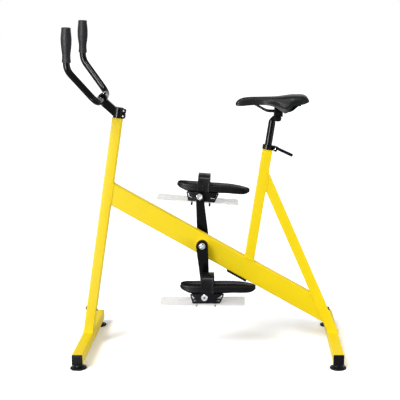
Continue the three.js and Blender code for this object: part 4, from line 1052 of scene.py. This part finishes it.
def pedals():
    plate_middle = CRANK_OUTER + 3 + PLATE[1] / 2
    for name, side in SIDES.items():
        body = f"pedal_{name}"
        middle = pedal_frame(side) @ shift(0, side * PEDAL_MIDDLE)
        seat = BRACKET_BOTTOM + 4.3
        across = pedal_frame(side) @ shift(0, side * plate_middle)
        drift = side * (PEDAL_MIDDLE - plate_middle)
        for piece, label, place, finish, smooth, *node in (
            (bracket(), "bracket_frame", middle, "black_plastic", 35, "pedal_bracket"),
            (bed(), "foot_bed", middle, "black_plastic", 50, "pedal_bed"),
            (strap(), "foot_strap", middle, "strap_rubber", 35, "pedal_strap"),
            (studs(), "strap_studs", middle, "black_plastic", 35),
            (water_plate(drift), "water_plate", across, "clear_plate", 35, "resistance_plate"),
            (plate_nuts(), "plate_nuts", middle @ shift(z=seat), "black_plastic", 35),
        ):
            nodes = [f"{part}_{name}" for part in node]
            fit(piece, f"{label}_{name}", place, body, finish, *nodes, smooth=smooth)
        for end, x in PLATE_SCREWS.items():
            bolt, node = f"plate_bolt_{end}_{name}", f"plate_screw_{end}_{name}"
            fit(screw(), bolt, middle @ shift(x, z=seat), body, "stainless_steel", node)


# Seat post, its sleeve and its quick-release collar


def sleeve_and_collar():
    bore = SEAT_POST_RADIUS + ROOM
    tube = turned(rounded(section(bore, SLEEVE_RADIUS, -80, 19.6), 0.5, 3), 72)
    plate = eased(prism(rectangle(HALF_LEG, HALF_LEG, 3.2), SEAM, SEAM + 2.5), 0.7)
    slot = block(0, 20, -1.25, 1.25, 2.8, 40)
    sleeve = cut(joined(tube, plate), drum(bore, -90, 40, "Z", 72), slot)
    fit(sleeve, "seat_tube_sleeve", SEAT, "frame", "yellow_coat", "seat_sleeve")
    inner = SLEEVE_RADIUS + SEAM
    low, high = COLLAR_BOTTOM, COLLAR_BOTTOM + COLLAR_HEIGHT
    tip = inner + 19
    ears = rounded([(inner, -8, 0.1), (tip, -8), (tip, 8), (inner, 8, 0.1)], 3, 4)
    collar = joined(drum(inner + 4.7, low, high, "Z", 72), prism(ears, low, high))
    collar = cut(
        eased(collar, 1.5, 3),
        block(0, 60, -1.25, 1.25, low - 5, high + 5),
        drum(inner, low - 5, high + 5, "Z", 72),
        drum(2.8, -30, 30, "Y", 32, x=SKEWER[0], z=SKEWER[1]),
    )
    fit(collar, "clamp_collar", SEAT, "frame", "black_coat", "seat_collar")


def quick_release():
    at = SEAT @ shift(SKEWER[0], 0, SKEWER[1])
    skewer = stacked([
        (2.5, LEVER_HUB_Y), (2.5, 8.3), (6.6, 8.3), (7, 8.7), (7, 12.8), (6.2, 14), (3.2, 14.3),
        (2.2, 14), (2.0, 13.1, "hex"),
    ], 48, "Y")
    fit(skewer, "skewer_rod", at, "frame", "stainless_steel", "qr_skewer")
    hinge = at @ shift(0, LEVER_HUB_Y) @ spin("Y", LEVER_DROP)
    pin = turned(rounded(section(0, 2.5, -10.4, 10.4), 0.4, 3), 32)
    fit(pin, "lever_pin", hinge, "frame", "stainless_steel")
    root = -3.5
    outline = rounded([
        (0, root + 2.2, 1), (24.5, root - 1.1, 6), (54, root - 1.6, 10), (67, root - 4.1, 2.2),
        (LEVER_LENGTH, root - 6, 2.6), (67, root - 9.1, 2.4), (50, root - 6.6, 10),
        (24.5, root - 6.4, 6), (0, root - 3, 1),
    ], 2, 6)
    paddle = prism(outline, LEVER_LIFT - 5.5, LEVER_LIFT + 5.5)
    lever = eased(joined(drum(8, -10, 10), paddle), 1.2, 3)
    fork = block(-20, 3.1, -20, 20, -3.2, 3.2)
    nips = []
    for side in (-1, 1):
        edge = LEVER_LIFT + side * 5.6
        nip = [(-4.4, edge), (-1.4, edge - side * 1.3), (1, edge - side * 4.6), (1, edge)]
        nip = [(LEVER_LENGTH + x, z) for x, z in nip]
        nips.append(prism(nip if side < 0 else nip[::-1], -40, 40, "Y"))
    lever = eased(cut(lever, fork, drum(2.8, -20, 20, "Z", 32), *nips), 0.4, 2, 60)
    fit(lever, "release_lever", hinge, "quick_release", "black_coat", "qr_lever")


def saddle_slot():
    """Room in the head for the bolt while the saddle tilts."""
    slot = block(-6.2, 6.2, -4.4, 4.4, -70, 40)
    room = block(-10.6, 10.6, -7.9, 7.9, -70, PIVOT - HEAD_RADIUS + 1.1)
    return [carried(piece, SADDLE, SEAT) for piece in (slot, room)]


def seat_post():
    bore, bottom, top = 11.6, -SEAT_POST_INSERTION, SEAT_POST_EXPOSED
    tube = turned(rounded([
        (bore, bottom), (SEAT_POST_RADIUS, bottom), (SEAT_POST_RADIUS, top), (0, top, 0),
        (0, top - 12.5, 0), (bore, top - 12.5),
    ], 0.5, 3), 72)
    x, z = HEAD_BEHIND_POST, top + HEAD_RADIUS
    head = eased(drum(HEAD_RADIUS, -17, 17, "Y", 72, x=x, z=z), 0.8)
    grooves = []
    for i in range(-6, 7):
        groove = block(-0.35, 0.35, -15.5, 15.5, HEAD_RADIUS - 0.45, HEAD_RADIUS + 2)
        grooves.append(moved(groove, spin("Y", 7 * i), shift(x, 0, z)))
    front = -SEAT_POST_RADIUS * 0.8
    outline = rounded([
        (front, z - 2 * HEAD_RADIUS, 0.1), (-front, z - 2 * HEAD_RADIUS, 0.1),
        (x + HEAD_RADIUS * 0.9, top + HEAD_RADIUS * 0.62), (x, top + HEAD_RADIUS * 1.6),
        (x - HEAD_RADIUS * 1.6, top + HEAD_RADIUS * 1.48), (front, top + HEAD_RADIUS * 0.32, 4),
    ], 2, 5)
    half = SEAT_POST_RADIUS * 0.55
    web = eased(prism(outline, -half, half, "Y"), 1.4, 3)
    post = cut(joined(tube, head, web), *saddle_slot(), *grooves)
    fit(post, "post_and_head", SEAT, "seat_mast", "black_coat", "seat_post")


# Saddle


def both_sides(half):
    """Corners across the bike, from those of its right-hand half, the outermost first."""
    return [(x, -y, z, reach) for x, y, z, reach in half] + half[::-1]


def rail_grooves():
    return [drum(3.8, -60, 60, "X", 40, y=side * RAIL_HALF_SPACING) for side in (-1, 1)]


def saddle_clamp():
    top = PIVOT + HEAD_RADIUS
    cradle = cut(
        eased(block(-17, 17, -28, 28, top - 5, -SEAM), 1.6, 3),
        drum(HEAD_RADIUS + ROOM, -60, 60, "Y", 72, z=PIVOT),
        block(-90, 0, -7.9, 7.9, -90, top),
        drum(4.4, -60, 60, "Z", 40),
        *rail_grooves(),
    )
    fit(cradle, "rail_cradle", SADDLE, "saddle_head", "black_coat", "saddle_cradle")
    crown = 14.5
    outline = rounded([
        (-28, SEAM), (28, SEAM), (28, 7, 2.5), (24, 8.5, 3), (12, crown, 4), (-12, crown, 4),
        (-24, 8.5, 3), (-28, 7, 2.5),
    ], 1.2, 4)
    upper = eased(prism(outline, -15, 15, "X"), 1.2, 3)
    upper = cut(upper, drum(4.4, -60, 60, "Z", 40), *rail_grooves())
    fit(upper, "rail_cap", SADDLE, "saddle_head", "black_coat", "saddle_clamp")
    low = PIVOT - HEAD_RADIUS - 7
    bolt = stacked([
        (4, low), (4, low + 1.8), (6.5, low + 1.8, "hex"), (6.5, low + 6.6, "hex"), (4, low + 6.6),
        (4, crown + SEAM), (6.5, crown + SEAM), (6.5, crown + 4.4), (5.6, crown + 5.3),
        (3.4, crown + 5.3), (3, crown + 5, "hex"), (3, crown + 2, "hex"),
    ], 48)
    fit(bolt, "rail_clamp_bolt", SADDLE, "saddle_head", "stainless_steel", "saddle_clamp_bolt")


RAIL_CORNERS = [
    (82, 22, 30, 0), (48, 22, 0, 14), (-42, 22, 0, 14), (-94, 6, 29, 14), (-118, 6, 29, 6),
]
ARCH_POINTS = 56
SADDLE_TABLE = [
    (0, 0.1, 0.51, 0.39),
    (0.012, 0.17, 0.59, 0.35),
    (0.04, 0.225, 0.7, 0.33),
    (0.1, 0.265, 0.81, 0.34),
    (0.19, 0.29, 0.86, 0.38),
    (0.3, 0.33, 0.87, 0.41),
    (0.4, 0.42, 0.875, 0.41),
    (0.49, 0.57, 0.88, 0.36),
    (0.56, 0.71, 0.895, 0.25),
    (0.62, 0.82, 0.92, 0.09),
    (0.67, 0.9, 0.95, -0.04),
    (0.72, 0.96, 0.975, 0.08),
    (0.79, 1, 1, 0.42),
    (0.87, 0.98, 1, 0.46),
    (0.93, 0.88, 0.98, 0.5),
    (0.975, 0.68, 0.88, 0.56),
    (1, 0.5, 0.7, 0.6),
]


def saddle_arch(share, top, side):
    """One arch across the saddle, its flanks turned in under a soft crease."""
    width, crown, skirt = table_curve(SADDLE_TABLE, share)
    x = SADDLE_NOSE + share * SADDLE_LENGTH
    half = width * SADDLE_HALF
    crown = SADDLE_BASE + crown * SADDLE_HEIGHT
    skirt = SADDLE_BASE + skirt * SADDLE_HEIGHT
    across = max(half - side, half * 0.3)
    rise = max(crown - top - skirt, (crown - skirt) * 0.2)
    crease = max(0, min((share - 0.38) / 0.14, 1, (0.95 - share) / 0.1)) if top == 0 else 0
    arch = []
    for i in range(ARCH_POINTS + 1):
        angle = pi * (0.5 - i / ARCH_POINTS)
        sine = abs(sin(angle))
        height = abs(cos(angle)) ** 0.56
        fold, bulge = ((height - 0.42) / 0.08) ** 2, ((height - 0.7) / 0.17) ** 2
        ridge = exp(-fold) - exp(-bulge)
        reach = across * (1 - 0.12 * sine**5) * sine**0.66 + 3.3 * crease * ridge
        arch.append(Vector((x, copysign(reach, sin(angle)), skirt + rise * height)))
    return arch


def saddle_sheet(first, last, steps, top, side, thickness, side_thickness):
    rings = []
    for i in range(steps + 1):
        share = first + (last - first) * (0.5 - 0.5 * cos(pi * i / steps))
        inner = saddle_arch(share, top + thickness, side + side_thickness)
        rings.append(saddle_arch(share, top, side) + inner[::-1])
    return skin(rings)


def saddle():
    rails = rod(bent(both_sides(RAIL_CORNERS)), RAIL_RADIUS, 24)
    fit(rails, "saddle_wires", SADDLE, "saddle", "black_coat", "saddle_rails")
    cover = saddle_sheet(0, 1, 96, 0, 0, 11, 6)
    fit(cover, "saddle_top", SADDLE, "saddle", "saddle_skin", "saddle_cover", smooth=50)
    sockets = []
    for side in (-1, 1):
        y = side * RAIL_HALF_SPACING
        sockets.append(eased(block(66, 85, y - 6.5, y + 6.5, 20, 44), 1.5, 3))
    nose = eased(block(-126, -110, -10.3, 10.3, 24.7, 40), 1.2, 2)
    shell = joined(saddle_sheet(0.04, 0.93, 64, 11 + SEAM, 6 + SEAM, 3, 3), *sockets, nose)
    fit(shell, "saddle_pan", SADDLE, "saddle", "black_plastic", "saddle_shell")


# Stem, handlebar and grips


def stem():
    low, middle, high = BARREL_BOTTOM, BARREL_MIDDLE, BARREL_TOP
    foot = POST_LENGTH + SEAM
    plate = eased(prism(rectangle(HALF_LEG, HALF_LEG, 3.2), foot, foot + 3), 0.8)
    outer, inner = arc(0, 0, 14.3, 0, 352.5, 47), arc(0, 0, 12.1, 0, 352.5, 47)
    steerer = joined(plate, pipe(outer, inner, POST_LENGTH - 45, high - 4.4))
    fit(steerer, "steerer_tube", POST, "frame", "yellow_coat", "steerer_stub")
    profile = [(0, low, 0), (BARREL_RADIUS, low, 0.8), (BARREL_RADIUS, high, 3), (0, high, 0)]
    barrel = turned(rounded(profile, 1, 6), 72)
    cap_ring = turned(rounded(section(11.4, 12.2, high - 0.5, high + 2), 0.2, 2), 72)
    length = hypot(STEM_REACH, STEM_RISE)
    half = STEM_BODY_DEPTH / 2
    body = eased(block(-length, 0, -13, 13, -half - STEM_BODY_DROP, half - STEM_BODY_DROP), 4, 5)
    moved(body, STEM_TURN, shift(0, 0, middle))
    ears = rounded([
        (0, low, 0.1), (28.5, low, 7), (28.5, middle - 4, 4), (25, middle - 1.5, 2),
        (28.5, middle + 1, 4), (28.5, high - 3, 7), (0, high - 3, 0.1),
    ], 3, 5)
    ears = eased(prism(ears, -10, 10, "Y"), 1.6, 3)
    bolts = [low + 10, high - 10]
    whole = cut(
        joined(barrel, body, moved(bar_clamp(), ROLLED), ears),
        block(0, 40, -1, 1, low - 20, high - 4),
        drum(14.6, low - 20, high - 4, "Z", 72),
        moved(drum(BAR_RADIUS + SEAM, -60, 60, "Y", 72), ROLLED),
        moved(block(-90, -1, -90, 90, -90, 90), ROLLED @ STEM_TURN),
        cap_ring,
        *[drum(2.8, -60, 60, "Y", 32, x=20, z=z) for z in bolts],
    )
    fit(whole, "stem_casting", POST, "stem", "black_coat", "stem_body")
    for i, z in enumerate(bolts, 1):
        bolt = socket_bolt(3.5, 4, 2.5, 20)
        place = POST @ shift(20, -10.3, z) @ spin("X", 90)
        fit(bolt, f"pinch_screw_{i}", place, "stem", "stainless_steel", f"stem_pinch_bolt_{i}")
    faceplate()


def socket_bolt(head_radius, head, shank_radius, shank):
    """A socket-head screw along Z, its head's inner face at 0 and its shank towards -Z."""
    socket = head_radius * 0.5
    return stacked([
        (shank_radius - 0.4, -shank), (shank_radius, -shank + 0.5), (shank_radius, 0),
        (head_radius, 0), (head_radius, head - 0.7), (head_radius - 0.6, head),
        (head_radius * 0.6, head), (socket, head - 0.3, "hex"), (socket, head * 0.45, "hex"),
    ], 36)


def bar_clamp():
    return eased(drum(CLAMP_RADIUS, -21, 21, "Y", 72), 1, 2)


def faceplate():
    """The clamp's front half, held by four screws, told in the clamp's own leaning frame."""
    clamp = bar_clamp()
    lugs = eased(block(-9, 2, -13, 13, -CLAMP_RADIUS - 6.5, CLAMP_RADIUS + 6.5), 2, 3)
    bore = drum(BAR_RADIUS + SEAM, -60, 60, "Y", 72)
    plate = cut(joined(clamp, lugs), block(-1.3, 90, -90, 90, -90, 90), bore)
    fit(plate, "bar_faceplate", STEM_CLAMP, "stem", "black_coat", "stem_faceplate")
    screws = []
    for y in (-8.5, 8.5):
        for z in (-CLAMP_RADIUS - 1.6, CLAMP_RADIUS + 1.6):
            screws.append(moved(socket_bolt(3.6, 3, 2, 16), spin("Y", -90), shift(-9, y, z)))
    fit(gathered(*screws), "faceplate_screws", STEM_CLAMP, "stem", "stainless_steel")


def handlebar():
    lean = radians(GRIP_LEAN)
    up = Vector((sin(lean), 0, cos(lean)))
    corner = Vector((-ARM_FORWARD, GRIP_HALF_SPACING, ARM_RISE))
    top = corner + up * ((GRIP_TOP - 6 - ARM_RISE) / up.z)
    path = bent(both_sides([(*top, 0), (*corner, 24), (0, BAR_HALF_STRAIGHT, 0, 38)]), 16)
    fit(rod(path, BAR_RADIUS, 40), "bent_bar", BAR, "bars", "black_coat", "handlebar")
    base = corner + up * ((GRIP_TOP - ARM_RISE) / up.z - GRIP_LENGTH)
    for name, side in SIDES.items():
        place = BAR @ shift(base.x, side * base.y, base.z) @ spin("Y", GRIP_LEAN)
        fit(grip(), f"foam_grip_{name}", place, "bars", "grip_foam", f"grip_{name}", smooth=50)


GRIP_TABLE = [
    (0, 1.2), (0.05, 0.6), (0.1, 0.06), (0.22, 0), (0.38, 0.55), (0.56, 1), (0.68, 1),
    (0.84, 0.62), (0.96, 0.3),
]


def grip():
    bore, top = BAR_RADIUS + SEAM, GRIP_LENGTH
    swell = [(15 + 4.4 * table_curve(GRIP_TABLE, i / 40)[0], top * i / 40) for i in range(3, 39)]
    profile = [
        (0, top - 5.7, 0), (bore, top - 5.7, 0.2), (bore, 0, 0.2), (16.4, 0), (16.4, 4, 1.2),
        (15.4, 4.6, 0.5), *swell, (16.6, top - 1.4, 1.2), (15.4, top, 1.2), (10, top, 0.5),
        (9.4, top - 0.8, 0.5), (0, top - 0.8, 0),
    ]
    return turned(rounded(profile, 1, 3), 72)


# Studio, in metres, degrees and watts

PAPER_THROWN = (0.5, 0.5, 0.5, 1)
PAPER_SHOWN = (1.4, 1.4, 1.415, 1)
SKY_THROWN = 0.42
SUN_POWER = 2.1
SUN_SPREAD = 24
SUN_DIRECTION = (0.4, 0.62, -0.68)
LAMPS = {
    "left_panel": ((-2.6, -1.2, 1.1), (0, 0, 0.7), 1.6, 2.0, 28),
    "right_panel": ((2.4, -0.9, 0.7), (0, 0, 0.4), 1.6, 1.4, 27),
    "left_gleam": ((-1.5, -2.1, 1.0), (0.1, 0, 0.8), 0.6, 2.4, 420, False),
    "top_gleam": ((-0.3, -1.3, 2.9), (0, 0, 0.7), 2.2, 0.4, 200, False),
    "low_gleam": ((-0.5, -0.66, 0.05), (-0.5, -0.4, 1.1), 0.4, 0.1, 8, False),
}
CAMERA_PLACE = (0.1507, -3.5272, 1.2985)
CAMERA_TILT = 78.621
CAMERA_LENS = 84.07
CAMERA_SENSOR = 36
CAMERA_SHIFT = -0.122


def lamp(name, place, target, width, height, power, plain=True):
    """A soft panel of light; one that is not plain shows only as a gleam on what is glossy."""
    light = bpy.data.lights.new(name, "AREA")
    light.shape = "RECTANGLE"
    light.size = width
    light.size_y = height
    stand = lit(light, power, Vector(target) - Vector(place))
    stand.location = place
    stand.visible_camera = False
    stand.visible_diffuse = plain


def lit(light, power, direction):
    """A light of a power, set up to shine in a direction."""
    light.energy = power
    stand = bpy.data.objects.new(light.name, light)
    stand.rotation_euler = Vector(direction).to_track_quat("-Z", "Y").to_euler()
    bpy.context.scene.collection.objects.link(stand)
    return stand


def seen_rays(finish):
    """1 for what the camera sees itself, in a gleam or through a sheet, 0 for light thrown on."""
    kinds = ("Is Camera Ray", "Is Glossy Ray", "Is Transmission Ray")
    shares = [finish.node("LightPath", output=kind) for kind in kinds]
    return shares[0] + shares[1] + shares[2]


def studio():
    scene = bpy.context.scene
    scene.view_settings.view_transform = "Standard"
    floor = made([(-40, -40, 0), (40, -40, 0), (40, 40, 0), (-40, 40, 0)], [(0, 1, 2, 3)])
    floor.name = "studio_floor"
    material, sheet = new_finish("studio_paper")
    thrown = sheet.node("BsdfDiffuse", {"Color": PAPER_THROWN})
    shown = sheet.node("BsdfDiffuse", {"Color": PAPER_SHOWN})
    paper = sheet.node("MixShader", {0: seen_rays(sheet), 1: thrown, 2: shown})
    sheet.node("OutputMaterial", {"Surface": paper})
    floor.data.materials.append(material)
    scene.world = bpy.data.worlds.new("studio_white")
    sky = Finish(scene.world)
    strength = SKY_THROWN + (1 - SKY_THROWN) * seen_rays(sky)
    white = sky.node("Background", {"Color": (1, 1, 1, 1), "Strength": strength})
    sky.node("OutputWorld", {"Surface": white})
    sun = bpy.data.lights.new("key", "SUN")
    sun.angle = radians(SUN_SPREAD)
    lit(sun, SUN_POWER, SUN_DIRECTION)
    for name, panel in LAMPS.items():
        lamp(name, *panel)
    view = bpy.data.cameras.new("photo_view")
    view.lens = CAMERA_LENS
    view.sensor_width = CAMERA_SENSOR
    view.shift_x = CAMERA_SHIFT
    camera = bpy.data.objects.new("photo_view", view)
    camera.location = CAMERA_PLACE
    camera.rotation_euler = (radians(CAMERA_TILT), 0, 0)
    scene.collection.objects.link(camera)
    scene.camera = camera


frame_tubes()
beam_rubber()
welds()
bases()
bottom_bracket()
cranks()
pedals()
sleeve_and_collar()
quick_release()
seat_post()
saddle_clamp()
saddle()
stem()
handlebar()
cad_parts["bb_spindle"].data.materials.clear()
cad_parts["bb_spindle"].data.materials.append(FINISHES["stainless_steel"])
studio()
